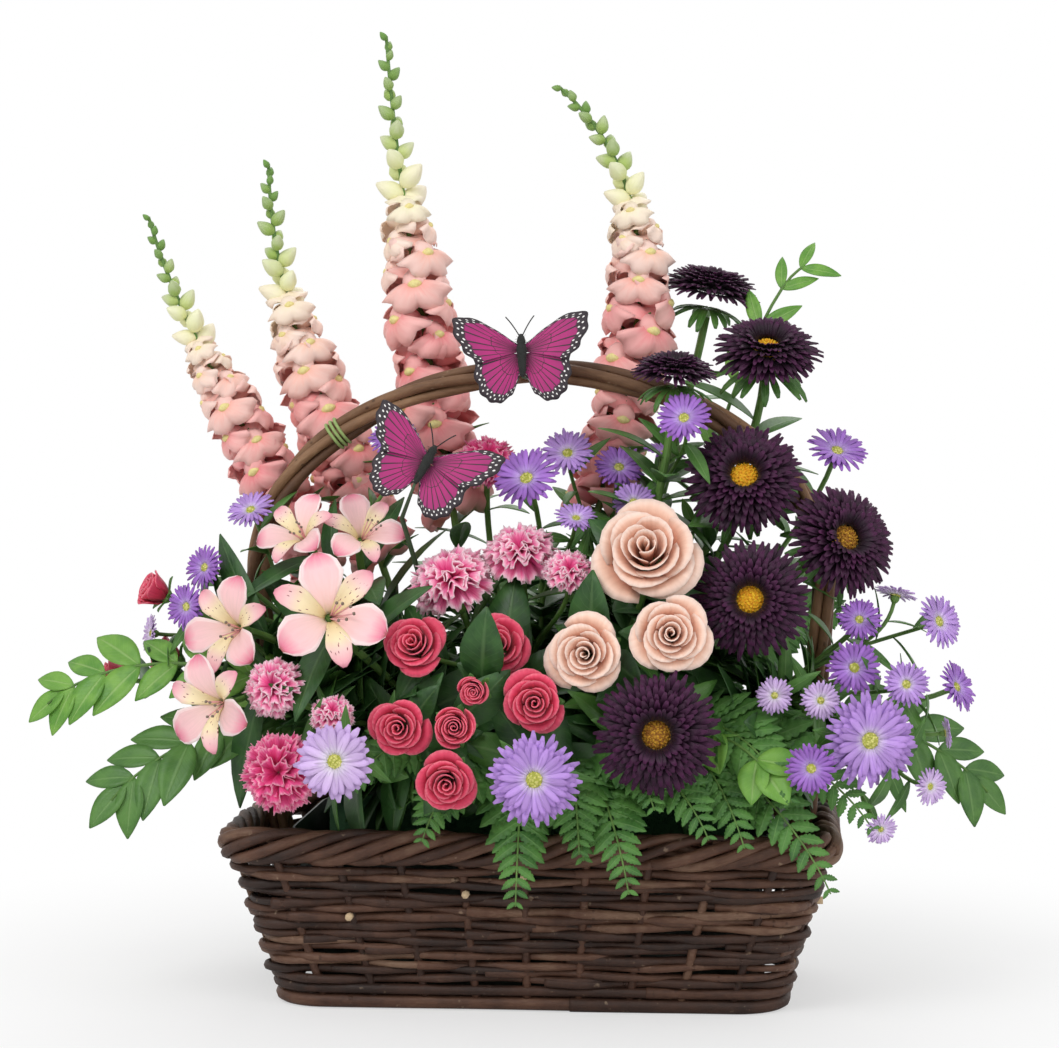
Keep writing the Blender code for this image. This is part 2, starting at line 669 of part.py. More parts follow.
def main():
    clear_scene()
    arrangement = new_collection("flower_basket_arrangement")
    cutters = new_collection("cutters")
    cutters.hide_render = True

    plants = planting()
    wanted, radii = {}, {}
    for name, (kind, heads, _) in plants.items():
        wanted[name] = entry_for(heads[0][0][0], heads[0][0][1])
        radii[name] = STEM_RADIUS[kind]
    for number, spike in enumerate(SNAPDRAGONS, 1):
        wanted[f"snapdragon_{number}"] = entry_for(spike[0][0], spike[0][1])
        radii[f"snapdragon_{number}"] = STEM_RADIUS["snapdragon"]
    for name, (tip, _) in FRONDS.items():
        wanted[name] = entry_for(tip[0], tip[1])
        radii[name] = STEM_RADIUS["frond"]
    wanted["butterfly_lower_body"] = entry_for(-0.07, -0.05)
    radii["butterfly_lower_body"] = PICK_RADIUS
    spots = spread_entries(wanted | OWN_ENTRIES, STEM_SPACING)
    entries = {name: Vector((spot.x, spot.y, FOAM_TOP)) for name, spot in spots.items()}

    make_basket(arrangement, cutters)
    sockets = socket_cutter([(*spots[name], radii[name]) for name in spots], cutters)
    make_liner_and_foam(arrangement, sockets)
    make_handle(arrangement)
    for name, (kind, heads, finish) in plants.items():
        make_flower(name, kind, heads, entries[name], finish, arrangement, cutters)
    for number, spike in enumerate(SNAPDRAGONS, 1):
        name = f"snapdragon_{number}"
        make_snapdragon(name, spike, entries[name], arrangement)
    profile = leaf_profile(cutters)
    for name, (tip, half_width) in FRONDS.items():
        make_frond(name, Vector(tip), half_width, entries[name], profile, arrangement)
    for key in BUTTERFLIES:
        make_wings(key, arrangement)
    make_wired_body(arrangement)
    make_picked_body(entries["butterfly_lower_body"], arrangement)


main()
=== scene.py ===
"""Looks of the flower basket arrangement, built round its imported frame.

Every plant is one piece. Its stem and heads are found again from its CAD solid: a solid's flat front gives a
head's middle, axis and radius, and the foot of its stem gives where it enters the foam.
Each vertex carries "grain": how far along its petal, leaf or rod it lies, how far across, and a tint.
"""

import math

import bpy
import numpy as np
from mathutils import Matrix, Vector


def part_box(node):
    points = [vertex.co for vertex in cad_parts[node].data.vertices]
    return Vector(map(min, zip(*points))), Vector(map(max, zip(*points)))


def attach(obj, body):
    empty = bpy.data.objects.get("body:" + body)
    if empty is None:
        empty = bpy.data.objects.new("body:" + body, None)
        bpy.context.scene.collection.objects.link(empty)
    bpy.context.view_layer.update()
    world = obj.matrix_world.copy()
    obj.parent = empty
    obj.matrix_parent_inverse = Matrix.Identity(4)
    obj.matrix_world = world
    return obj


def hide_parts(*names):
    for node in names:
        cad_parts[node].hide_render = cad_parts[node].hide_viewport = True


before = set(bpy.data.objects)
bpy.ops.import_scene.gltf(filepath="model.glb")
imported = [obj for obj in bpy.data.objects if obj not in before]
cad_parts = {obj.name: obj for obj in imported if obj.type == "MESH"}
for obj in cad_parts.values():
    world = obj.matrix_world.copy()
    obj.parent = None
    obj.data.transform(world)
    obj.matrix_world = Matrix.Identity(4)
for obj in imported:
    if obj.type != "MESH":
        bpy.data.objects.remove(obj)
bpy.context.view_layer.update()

TAU = math.tau
UP = np.array((0.0, 0.0, 1.0))
SOCKET_DEPTH = 0.025  # of a stem in the foam
FORK_AT = 0.5  # where a spray's branches leave its main stem
BRANCH = 0.75  # a branch's radius, as a share of its main stem's
BEND = 0.36  # share of a stem's length that runs straight at each end
FRONT_SHARE = 0.4  # a solid head's flat front, in head radii
LEAST_END = 0.0032  # radius that tells a head's flat front from a stem's end
# Where a solid head begins and ends along its axis, in head radii, and its stem's radius
HEADS = {
    "china_aster": (-0.62, 0.22, 0.0024),
    "daisy": (-0.40, 0.12, 0.0015),
    "rose": (-0.95, 0.50, 0.0019),
    "carnation": (-1.25, 0.34, 0.0018),
    "alstroemeria": (-0.80, 0.26, 0.0022),
}


# ---- numbers ----

def unit(v):
    """Vectors of length one along the last axis."""
    return v / np.maximum(np.linalg.norm(v, axis=-1, keepdims=True), 1e-12)


def bezier(controls, t):
    """Points of a cubic curve: each control weighed by its Bernstein polynomial."""
    a, b, c, d = (np.asarray(p, float) for p in controls)
    t = np.asarray(t, float)[..., None]
    s = 1 - t
    return a * s**3 + 3 * b * s * s * t + 3 * c * s * t * t + d * t**3


def stem_controls(start, start_way, end, end_way):
    """A stem's four controls: it leaves its start along one way and reaches its end along the other."""
    reach = np.linalg.norm(end - start) * BEND
    return start, start + start_way * reach, end - end_way * reach, end


def head_axes(axis, spin=0.0):
    """Rows X, Y, Z of a head's own frame: Z is the way it faces, turned by spin about it."""
    side = unit(np.cross(UP if abs(axis[2]) < 0.95 else np.array((0, 1.0, 0)), axis))
    up = np.cross(axis, side)
    c, s = math.cos(spin), math.sin(spin)
    return np.array((side * c + up * s, up * c - side * s, axis))


# ---- meshes ----

class Piece:
    """Collects closed surfaces, and makes them one object with one material for each finish."""

    def __init__(self, name):
        self.name, self.points, self.grain, self.loops, self.sizes = name, [], [], [], []
        self.marks, self.finishes, self.count = [], [], 0

    def put(self, points, faces, grain, finish):
        """Adds points (n, 3) with faces (m, corners) that may come as several arrays."""
        if finish not in self.finishes:
            self.finishes.append(finish)
        mark = self.finishes.index(finish)
        for group in faces if isinstance(faces, list) else [faces]:
            self.loops.append((group + self.count).ravel())
            self.sizes.append(np.full(len(group), group.shape[1]))
            self.marks.append(np.full(len(group), mark))
        self.points.append(points.reshape(-1, 3))
        self.grain.append(grain.reshape(-1, 3))
        self.count += self.points[-1].shape[0]

    def sheets(self, grid, thick, finish, tint=0.5):
        """Thin closed sheets from middle surfaces (k, rows, columns, 3): a front and a back half a
        thickness off along the surface's normal, joined round the edge."""
        k, rows, cols = grid.shape[:3]
        normal = unit(np.cross(np.gradient(grid, axis=1), np.gradient(grid, axis=2)))
        both = np.stack((grid + normal * thick / 2, grid - normal * thick / 2), axis=1)
        one = np.arange(rows * cols).reshape(rows, cols)
        quads = np.stack((one[:-1, :-1], one[1:, :-1], one[1:, 1:], one[:-1, 1:]), -1).reshape(-1, 4)
        edge = np.concatenate((one[:-1, 0], one[-1, :-1], one[:0:-1, -1], one[0, :0:-1]))
        ahead = np.roll(edge, -1)
        half = rows * cols
        rim = np.stack((ahead, edge, edge + half, ahead + half), -1)
        faces = np.concatenate((quads, quads[:, ::-1] + half, rim))
        faces = (faces[None] + (np.arange(k) * 2 * half)[:, None, None]).reshape(-1, 4)
        grain = np.empty((k, 2, rows, cols, 3))
        grain[..., 0] = np.linspace(0, 1, rows)[:, None]
        grain[..., 1] = np.linspace(-1, 1, cols)
        grain[..., 2] = np.broadcast_to(np.asarray(tint, float).reshape(-1, 1, 1, 1), (k, 2, rows, cols))
        self.put(both, faces, grain, finish)

    def tubes(self, path, radius, sides, finish, tint=0.5):
        """Closed tubes round paths (k, n, 3), whose radius (k, n) may change along them."""
        path = path[None] if path.ndim == 2 else path
        k, n = path.shape[:2]
        radius = np.broadcast_to(np.asarray(radius, float), (k, n))
        along = unit(np.gradient(path, axis=1))
        least = np.eye(3)[np.argmin(np.abs(along.mean(axis=1)), axis=1)][:, None]
        side = unit(np.cross(along, least))
        other = np.cross(along, side)
        turn = np.arange(sides) * TAU / sides
        ring = side[:, :, None] * np.cos(turn)[:, None] + other[:, :, None] * np.sin(turn)[:, None]
        points = path[:, :, None] + ring * radius[:, :, None, None]
        one = np.arange(n * sides).reshape(n, sides)
        after = np.roll(one, -1, axis=1)
        quads = np.stack((one[:-1], after[:-1], after[1:], one[1:]), -1).reshape(-1, 4)
        caps = np.stack((one[0][::-1], one[-1]))
        step = (np.arange(k) * n * sides)[:, None, None]
        grain = np.empty((k, n, sides, 3))
        grain[..., 0] = np.linspace(0, 1, n)[:, None]
        grain[..., 1] = np.abs(turn / math.pi - 1) * 2 - 1
        grain[..., 2] = np.broadcast_to(np.asarray(tint, float).reshape(-1, 1, 1), (k, n, sides))
        faces = [(quads[None] + step).reshape(-1, 4), (caps[None] + step).reshape(-1, sides)]
        self.put(points, faces, grain, finish)

    def finish(self, slot, *nodes):
        """Makes the object, smooth shaded, and lets it ride in place of its CAD nodes."""
        mesh = bpy.data.meshes.new(self.name)
        points, loops = np.concatenate(self.points), np.concatenate(self.loops)
        sizes = np.concatenate(self.sizes)
        mesh.vertices.add(len(points))
        mesh.vertices.foreach_set("co", points.ravel())
        mesh.loops.add(len(loops))
        mesh.loops.foreach_set("vertex_index", loops)
        mesh.polygons.add(len(sizes))
        mesh.polygons.foreach_set("loop_start", np.cumsum(sizes) - sizes)
        mesh.polygons.foreach_set("loop_total", sizes)
        mesh.polygons.foreach_set("material_index", np.concatenate(self.marks))
        grain = mesh.attributes.new("grain", "FLOAT_VECTOR", "POINT")
        grain.data.foreach_set("vector", np.concatenate(self.grain).ravel())
        for finish in self.finishes:
            mesh.materials.append(finish_named(finish))
        mesh.update(calc_edges=True)
        mesh.validate()
        mesh.shade_smooth()
        piece = bpy.data.objects.new(self.name, mesh)
        bpy.context.scene.collection.objects.link(piece)
        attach(piece, "root")
        if nodes:
            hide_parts(*nodes)
        return piece


# ---- materials ----

class Value:
    """A socket in a material. Arithmetic on it adds Math nodes."""

    def __init__(self, tree, socket):
        self.tree, self.socket = tree, socket

    def math(self, operation, *others):
        return node(self.tree, "ShaderNodeMath", (self, *others), operation=operation)

    def __add__(self, other):
        return self.math("ADD", other)

    def __sub__(self, other):
        return self.math("SUBTRACT", other)

    def __rsub__(self, other):
        return node(self.tree, "ShaderNodeMath", (other, self), operation="SUBTRACT")

    def __mul__(self, other):
        return self.math("MULTIPLY", other)

    __radd__ = __add__
    __rmul__ = __mul__

    def step(self, low, high):
        """0 below low and 1 above high, with a smooth rise between, or a fall where low is above high."""
        if low > high:
            return 1 - self.step(high, low)
        return node(self.tree, "ShaderNodeMapRange", (self, low, high), interpolation_type="SMOOTHSTEP")


def node(tree, kind, inputs=(), output=0, stops=None, **settings):
    """Adds a node: its settings first, then its ramp's stops, then the values or links of its sockets."""
    made = tree.nodes.new(kind)
    for key, value in settings.items():
        setattr(made, key, value)
    if stops:
        ramp = made.color_ramp
        while len(ramp.elements) < len(stops):
            ramp.elements.new(0.5)
        for element, (place, colour) in zip(ramp.elements, stops):
            element.position = place
            element.color = (*colour, 1.0)
    pairs = inputs.items() if isinstance(inputs, dict) else enumerate(inputs)
    for key, value in pairs:
        if isinstance(value, Value):
            tree.links.new(value.socket, made.inputs[key])
        elif isinstance(value, tuple) and len(value) == 3 and made.inputs[key].type == "RGBA":
            made.inputs[key].default_value = (*value, 1.0)
        else:
            made.inputs[key].default_value = value
    return Value(tree, made.outputs[output])


class Finish:
    """A Principled material, its grain attribute split in three, and the noises that its colour needs."""

    def __init__(self, name, **constants):
        self.material = bpy.data.materials.new(name)
        self.material.use_nodes = True
        self.tree = self.material.node_tree
        self.shader = self.tree.nodes["Principled BSDF"]
        for key, value in constants.items():
            self.shader.inputs[key.replace("_", " ").title().replace("Ior", "IOR")].default_value = value
        vector = node(self.tree, "ShaderNodeAttribute", output=1, attribute_name="grain")
        self.along, self.across, self.tint = (
            node(self.tree, "ShaderNodeSeparateXYZ", (vector,), output=i) for i in range(3)
        )
        self.place = node(self.tree, "ShaderNodeTexCoord", output=3)

    def vector(self, x, y, z):
        return node(self.tree, "ShaderNodeCombineXYZ", (x, y, z))

    def noise(self, vector, scale, detail=3.0):
        return node(self.tree, "ShaderNodeTexNoise", {"Vector": vector, "Scale": scale, "Detail": detail})

    def cells(self, vector, scale):
        return node(self.tree, "ShaderNodeTexVoronoi", {"Vector": vector, "Scale": scale})

    def mix(self, factor, a, b, blend_type="MIX"):
        return node(self.tree, "ShaderNodeMix", {0: factor, 6: a, 7: b}, 2, data_type="RGBA",
                    blend_type=blend_type)

    def ramp(self, value, *stops):
        return node(self.tree, "ShaderNodeValToRGB", (value,), stops=stops)

    def set(self, colour, roughness=None, height=None, distance=0.0003):
        self.tree.links.new(colour.socket, self.shader.inputs["Base Color"])
        if roughness is not None:
            self.tree.links.new(roughness.socket, self.shader.inputs["Roughness"])
        if height is not None:
            bump = node(self.tree, "ShaderNodeBump",
                        {"Strength": 0.6, "Distance": distance, "Height": height})
            self.tree.links.new(bump.socket, self.shader.inputs["Normal"])
        return self.material


def petal(name, stops, streak=0.25, rough=0.55, ridges=14.0, edge=None, spread=0.12, sheen=0.15):
    """A petal: its colour goes from stop to stop along it, in streaks, and differs a little from the next."""
    f = Finish(name, sheen_weight=sheen, specular_ior_level=0.3)
    fibres = f.noise(f.vector(f.across * ridges, f.along * 2.0, f.tint * 37.0), 1.0, 2.0)
    colour = f.ramp(f.along + (fibres - 0.5) * streak, *stops)
    if edge:
        colour = f.mix((f.across.math("ABSOLUTE") + (fibres - 0.5) * 0.3).step(0.72, 1.0), colour, edge)
    level = 1.0 + (f.tint - 0.5) * (2 * spread) + (fibres - 0.5) * 0.22
    colour = f.mix(1.0, colour, f.vector(level, level, level), "MULTIPLY")
    return f.set(colour, fibres * 0.15 + (rough - 0.07), fibres, 0.0004)


def leaf(name, dark, light, vein, rough=0.42):
    """A leaf: mottled green, with a pale midrib and slanting side veins."""
    f = Finish(name, specular_ior_level=0.4)
    patches = f.noise(f.place, 90.0)
    colour = f.mix(patches.step(0.3, 0.7), dark, light)
    colour = f.mix((f.tint - 0.2) * 0.5, colour, light)
    rib = f.across.math("ABSOLUTE").step(0.14, 0.02)
    slant = (f.along * 11.0 - f.across.math("ABSOLUTE") * 2.5).math("PINGPONG", 0.5)
    veins = slant.step(0.08, 0.0) * 0.35
    colour = f.mix(rib.math("MAXIMUM", veins) * 0.6, colour, vein)
    return f.set(colour, patches * 0.25 + rough - 0.1, veins + rib + patches * 0.6, 0.0003)


def rods(name, stops, scale=1.0):
    """Willow bark: long streaks and blotches in several browns, small knots, and pale patches of painted
    highlight.
    """
    f = Finish(name, specular_ior_level=0.35)
    streaks = f.noise(f.vector(f.across * 3.0, f.along * 60.0 * scale, f.tint * 53.0), 1.0, 4.0)
    blotch = f.noise(f.place, 42.0, 4.0)
    fine = f.noise(f.place, 900.0, 3.0)
    tone = f.tint * 0.7 + blotch * 0.7 + streaks * 0.35 - 0.40
    colour = f.ramp(tone, *stops)
    # Painted highlights: pale grey-tan patches mixed into the bark's colour where a noise runs high.
    painted_highlight_patches = f.noise(f.place, 160.0, 5.0).step(0.66, 0.74)
    colour = f.mix(painted_highlight_patches * 0.4, colour, (0.42, 0.30, 0.20))
    knots = f.cells(f.vector(f.along * 40.0 * scale, f.across * 0.6, f.tint * 91.0), 1.0).step(0.16, 0.05)
    colour = f.mix(knots * 0.6, colour, (0.045, 0.022, 0.014))
    return f.set(colour, 0.75 - fine * 0.35, streaks * 0.8 + fine * 0.4 + knots, 0.0007)


def bobbles(name, low, high, scale=700.0):
    """A flower's middle: a crowd of small florets, painted paler at each one's top as a highlight and darker
    in the gaps between them as shade.
    """
    f = Finish(name, roughness=0.75)
    cells = f.cells(f.place, scale)
    # Painted highlight and shade: each floret's middle takes the pale colour, the gaps between florets the
    # dark one.
    return f.set(f.mix(cells.step(0.05, 0.75), high, low), None, 1 - cells, 0.0009)


def wing_finish():
    """A painted wing: magenta, with dark veins and a dark edge that carries two rows of white dots."""
    f = Finish("wing_magenta", roughness=0.55, sheen_weight=0.2)
    brush = f.noise(f.vector(f.across * 9.0, f.along * 5.0, f.tint * 20.0), 1.0, 4.0)
    colour = f.ramp(f.along + (brush - 0.5) * 0.5, (0.0, (0.12, 0.0, 0.045)), (0.45, (0.44, 0.010, 0.17)),
                    (0.9, (0.33, 0.008, 0.14)))
    vein = (f.across * 5.0 + 5.0).math("PINGPONG", 0.5).step(0.11, 0.06)
    edge = (f.along + (brush - 0.5) * 0.08).step(0.80, 0.84)
    hub = (f.along * 2.4).math("PINGPONG", 0.5).step(0.03, 0.0) * f.along.step(0.25, 0.3)
    colour = f.mix(vein.math("MAXIMUM", edge).math("MAXIMUM", hub), colour, (0.012, 0.004, 0.010))
    for shift, row in ((0.0, 0.925), (0.5, 0.855)):
        beat = (f.across * 8.0 + (8.0 + shift)).math("PINGPONG", 0.5) - 0.5
        apart = f.along - row
        dots = (beat * beat * 14.0 + apart * apart * 900.0).step(0.40, 0.28)
        colour = f.mix(dots, colour, (0.86, 0.84, 0.82))
    return f.set(colour, None, brush + vein, 0.0003)


def plain(name, colour, roughness, scale, bump, **constants):
    """A dull material whose colour and surface vary with one noise."""
    f = Finish(name, **constants)
    grain = f.noise(f.place, scale, 4.0)
    shade = f.mix(grain, tuple(0.7 * c for c in colour), tuple(min(1.0, 1.3 * c) for c in colour))
    return f.set(shade, grain * 0.2 + (roughness - 0.1), grain, bump)


def lily_inner_finish():
    """An inner tepal: cream-yellow at its middle, pink at the tip, with dark dashes along it."""
    f = Finish("alstroemeria_inner_petal", specular_ior_level=0.3)
    colour = f.ramp(f.along, (0.0, (0.82, 0.70, 0.36)), (0.55, (0.95, 0.80, 0.52)),
                    (0.75, (0.95, 0.62, 0.60)), (1.0, (0.88, 0.34, 0.44)))
    dashes = f.cells(f.vector(f.across * 4.0, f.along * 7.0, f.tint * 31.0), 1.0)
    speck = dashes.step(0.22, 0.12) * f.along.step(0.25, 0.35) * f.along.step(0.85, 0.75)
    return f.set(f.mix(speck, colour, (0.22, 0.02, 0.05)), None, dashes, 0.0002)


def snap_finish():
    """A floret ripens with its tint: green bud, cream, peach, then salmon pink, paler towards its edge."""
    f = Finish("snapdragon_petal", specular_ior_level=0.3, sheen_weight=0.15)
    veins = f.noise(f.vector(f.across * 9.0, f.along * 2.0, f.tint * 61.0), 1.0, 2.0)
    ripe = f.ramp(f.tint, (0.0, (0.13, 0.27, 0.05)), (0.18, (0.36, 0.50, 0.12)), (0.34, (0.80, 0.82, 0.42)),
                  (0.5, (0.95, 0.88, 0.66)), (0.66, (0.95, 0.58, 0.45)), (0.85, (0.90, 0.33, 0.32)),
                  (1.0, (0.84, 0.20, 0.24)))
    pale = f.ramp(f.tint, (0.0, (0.16, 0.32, 0.07)), (0.34, (0.88, 0.88, 0.60)), (0.6, (0.97, 0.76, 0.66)),
                  (1.0, (0.93, 0.38, 0.38)))
    colour = f.mix((f.along + (veins - 0.5) * 0.7).step(0.2, 0.95), ripe, pale)
    return f.set(colour, veins * 0.2 + 0.42, veins, 0.0004)


BROWNS = ((0.10, (0.018, 0.008, 0.005)), (0.38, (0.050, 0.021, 0.012)), (0.62, (0.105, 0.048, 0.028)),
          (0.85, (0.20, 0.120, 0.075)), (1.0, (0.32, 0.23, 0.16)))
TANS = ((0.1, (0.055, 0.024, 0.012)), (0.4, (0.13, 0.062, 0.030)), (0.75, (0.25, 0.135, 0.068)),
        (1.0, (0.38, 0.24, 0.135)))
FINISHES = {
    "willow": lambda: rods("willow_bark", BROWNS),
    "willow_handle": lambda: rods("willow_handle_bark", TANS, 2.0),
    "cut_end": lambda: plain("willow_cut_end", (0.62, 0.46, 0.28), 0.8, 900.0, 0.0002),
    "foam": lambda: plain("wet_foam", (0.035, 0.11, 0.045), 0.95, 1800.0, 0.0008),
    "liner": lambda: plain("liner_plastic", (0.012, 0.022, 0.013), 0.4, 200.0, 0.0001),
    "stem": lambda: leaf("stem_green", (0.075, 0.17, 0.03), (0.14, 0.27, 0.06), (0.16, 0.28, 0.08), 0.5),
    "leaf_dark": lambda: leaf("leaf_dark", (0.014, 0.055, 0.012), (0.04, 0.12, 0.025), (0.09, 0.18, 0.06)),
    "leaf_mid": lambda: leaf("leaf_mid", (0.04, 0.13, 0.02), (0.09, 0.22, 0.04), (0.16, 0.30, 0.09)),
    "leaf_bright": lambda: leaf("leaf_bright", (0.09, 0.26, 0.03), (0.19, 0.40, 0.06), (0.30, 0.48, 0.15)),
    "fern": lambda: leaf("fern_green", (0.035, 0.12, 0.022), (0.10, 0.26, 0.05), (0.16, 0.32, 0.09), 0.5),
    "aster_dark": lambda: petal(
        "aster_dark_petal", ((0.0, (0.010, 0.001, 0.008)), (0.6, (0.016, 0.0015, 0.013)),
                             (1.0, (0.055, 0.004, 0.042))), 0.4, 0.5, 5.0, spread=0.4, sheen=0.04),
    "aster_light": lambda: petal(
        "aster_lavender_petal", ((0.0, (0.75, 0.65, 0.88)), (0.35, (0.53, 0.33, 0.76)),
                                 (1.0, (0.47, 0.26, 0.70))), 0.3, 0.55, 5.0, spread=0.18),
    "aster_pale": lambda: petal(
        "aster_pale_petal", ((0.0, (0.86, 0.80, 0.93)), (0.4, (0.72, 0.54, 0.85)),
                             (1.0, (0.62, 0.42, 0.79))), 0.3, 0.55, 5.0, spread=0.15),
    "aster_violet": lambda: petal(
        "aster_violet_petal", ((0.0, (0.58, 0.42, 0.82)), (0.4, (0.38, 0.18, 0.62)),
                               (1.0, (0.34, 0.13, 0.55))), 0.3, 0.55, 5.0, spread=0.15),
    "middle_gold": lambda: bobbles("middle_gold", (0.80, 0.36, 0.01), (0.95, 0.68, 0.03)),
    "middle_ochre": lambda: bobbles("middle_ochre", (0.30, 0.11, 0.01), (0.80, 0.46, 0.04)),
    "middle_lime": lambda: bobbles("middle_lime", (0.42, 0.44, 0.06), (0.86, 0.82, 0.30)),
    # The coral rose's petals darken towards their base, painted shade deep in the cup, and turn paler at the
    # rim, a painted highlight on the rims.
    "rose_coral": lambda: petal(
        "rose_coral_petal", ((0.0, (0.36, 0.008, 0.03)), (0.6, (0.58, 0.022, 0.070)),
                             (0.93, (0.74, 0.060, 0.13)), (1.0, (0.84, 0.16, 0.23))), 0.12, 0.5, 9.0),
    "rose_peach": lambda: petal(
        "rose_peach_petal", ((0.0, (0.80, 0.30, 0.16)), (0.5, (0.90, 0.47, 0.32)),
                             (0.85, (0.94, 0.62, 0.48)), (1.0, (0.96, 0.74, 0.64))),
        0.12, 0.5, 9.0, spread=0.05),
    "carnation": lambda: petal(
        "carnation_petal", ((0.0, (0.52, 0.01, 0.13)), (0.5, (0.76, 0.06, 0.26)), (0.78, (0.88, 0.20, 0.42)),
                            (0.92, (0.93, 0.46, 0.60)), (1.0, (0.96, 0.70, 0.77))), 0.28, 0.6, 16.0),
    "carnation_deep": lambda: petal(
        "carnation_deep_petal", ((0.0, (0.40, 0.003, 0.07)), (0.6, (0.66, 0.018, 0.16)),
                                 (0.9, (0.80, 0.09, 0.28)), (1.0, (0.92, 0.36, 0.50))), 0.28, 0.6, 16.0),
    "lily_outer": lambda: petal(
        "alstroemeria_outer_petal", ((0.0, (0.80, 0.70, 0.48)), (0.25, (0.93, 0.66, 0.62)),
                                     (0.75, (0.93, 0.56, 0.58)), (0.95, (0.80, 0.22, 0.33)),
                                     (1.0, (0.55, 0.16, 0.16))), 0.16, 0.5, 7.0, (0.97, 0.80, 0.78)),
    "lily_inner": lily_inner_finish,
    "anther": lambda: plain("anther", (0.22, 0.17, 0.13), 0.8, 1500.0, 0.0002),
    "filament": lambda: plain("filament", (0.86, 0.42, 0.45), 0.5, 300.0, 0.0001),
    "snap": snap_finish,
    "throat": lambda: plain("snapdragon_throat", (0.95, 0.72, 0.30), 0.6, 700.0, 0.0003),
    "wing": wing_finish,
    "fuzz": lambda: plain("butterfly_fuzz", (0.02, 0.022, 0.02), 0.9, 1600.0, 0.0012),
    "wire": lambda: plain("wire_green", (0.05, 0.09, 0.04), 0.5, 300.0, 0.0001),
    "raffia": lambda: plain("raffia_tie", (0.30, 0.42, 0.14), 0.7, 500.0, 0.0003),
}
made_finishes = {}


def finish_named(key):
    """The material of that name, made once."""
    if key not in made_finishes:
        made_finishes[key] = FINISHES[key]()
    return made_finishes[key]


# ---- plants found again from their solids ----

def triangles(name):
    """A node's triangles as (n, 3, 3), and their unit normals."""
    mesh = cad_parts[name].data
    points = np.empty(len(mesh.vertices) * 3)
    mesh.vertices.foreach_get("co", points)
    mesh.calc_loop_triangles()
    corners = np.empty(len(mesh.loop_triangles) * 3, int)
    mesh.loop_triangles.foreach_get("vertices", corners)
    corners = points.reshape(-1, 3)[corners].reshape(-1, 3, 3)
    return corners, unit(np.cross(corners[:, 1] - corners[:, 0], corners[:, 2] - corners[:, 0]))


def flat_ends(name):
    """Round flat faces of a solid, as middle, outward axis and radius: coplanar triangles, at least four,
    whose corners all lie at one distance from their middle."""
    corners, normals = triangles(name)
    planes = np.concatenate((normals, (corners[:, 0] * normals).sum(1)[:, None]), axis=1)
    found, used = [], np.zeros(len(planes), bool)
    for i in range(len(planes)):
        if used[i]:
            continue
        same = (np.abs(planes - planes[i]) < (0.002, 0.002, 0.002, 0.00003)).all(axis=1)
        near = np.linalg.norm(corners.mean(axis=1) - corners[i].mean(axis=0), axis=1) < 0.03
        same &= near
        used |= same
        if same.sum() < 4:
            continue
        rim = np.unique(np.round(corners[same].reshape(-1, 3), 5), axis=0)
        middle = rim.mean(axis=0)
        reach = np.linalg.norm(rim - middle, axis=1)
        if len(rim) >= 6 and np.ptp(reach) < 0.00005:
            found.append((middle, normals[i], reach.mean()))
    return found


def plant(name, kind):
    """A plant's heads as (middle, axis, radius) and the controls of each one's stem. The main stem is the
    one whose route lies nearest the solid all along."""
    ends = flat_ends(name)
    foot = min(ends, key=lambda end: end[0][2])
    entry = foot[0] + UP * SOCKET_DEPTH
    back, front = HEADS[kind][:2]
    heads = []
    for middle, axis, radius in ends:
        if middle[2] > foot[0][2] + 0.01 and radius > LEAST_END:
            size = radius / FRONT_SHARE
            heads.append((middle - axis * front * size, axis, size))
    surface = triangles(name)[0].reshape(-1, 3)

    def distance(head):
        route = stem_controls(entry, UP, head[0] + head[1] * back * head[2], head[1])
        points = bezier(route, (0.25, 0.5, 0.75))
        return sum(np.linalg.norm(surface - point, axis=1).min() for point in points)

    heads.sort(key=distance)
    main = stem_controls(entry, UP, heads[0][0] + heads[0][1] * back * heads[0][2], heads[0][1])
    fork = bezier(main, FORK_AT)
    way = unit(bezier(main, FORK_AT + 0.01) - fork)
    routes = [main]
    for middle, axis, size in heads[1:]:
        routes.append(stem_controls(fork, way, middle + axis * back * size, axis))
    return heads, routes


# ---- leaves and stems ----

def blade(share, blunt=0.9):
    """A leaf's half width along it: a sine pushed towards the base, never quite zero."""
    return np.maximum(np.sin(math.pi * np.clip(share, 0, 1) ** blunt) ** 0.8, 0.05)


def leaves(base, way, face, length, width, bend=0.15, fold=0.25, teeth=0, rows=9, cols=3):
    """Leaf surfaces (k, rows, cols, 3): each runs from its base along way, sags against face by bend times
    its length squared, is folded up at its midrib, and may have teeth along its edge."""
    way, face = unit(way), unit(face)
    side = unit(np.cross(way, face))
    up = np.cross(side, way)
    share = np.linspace(0, 1, rows)
    across = np.linspace(-1, 1, cols)
    half = blade(share)
    if teeth:
        half = half * (0.72 + 0.28 * np.abs(np.sin(share * math.pi * teeth)))
    length = np.broadcast_to(np.asarray(length, float), len(base))[:, None, None, None]
    width = np.broadcast_to(np.asarray(width, float), len(base))[:, None, None, None]
    run = share[None, :, None, None] * length
    out = across[None, None, :, None] * half[None, :, None, None] * width
    lift = np.abs(out) * fold - bend * length * share[None, :, None, None] ** 2
    row = [v[:, None, None, :] for v in (base, way, side, up)]
    return row[0] + row[1] * run + row[2] * out + row[3] * lift


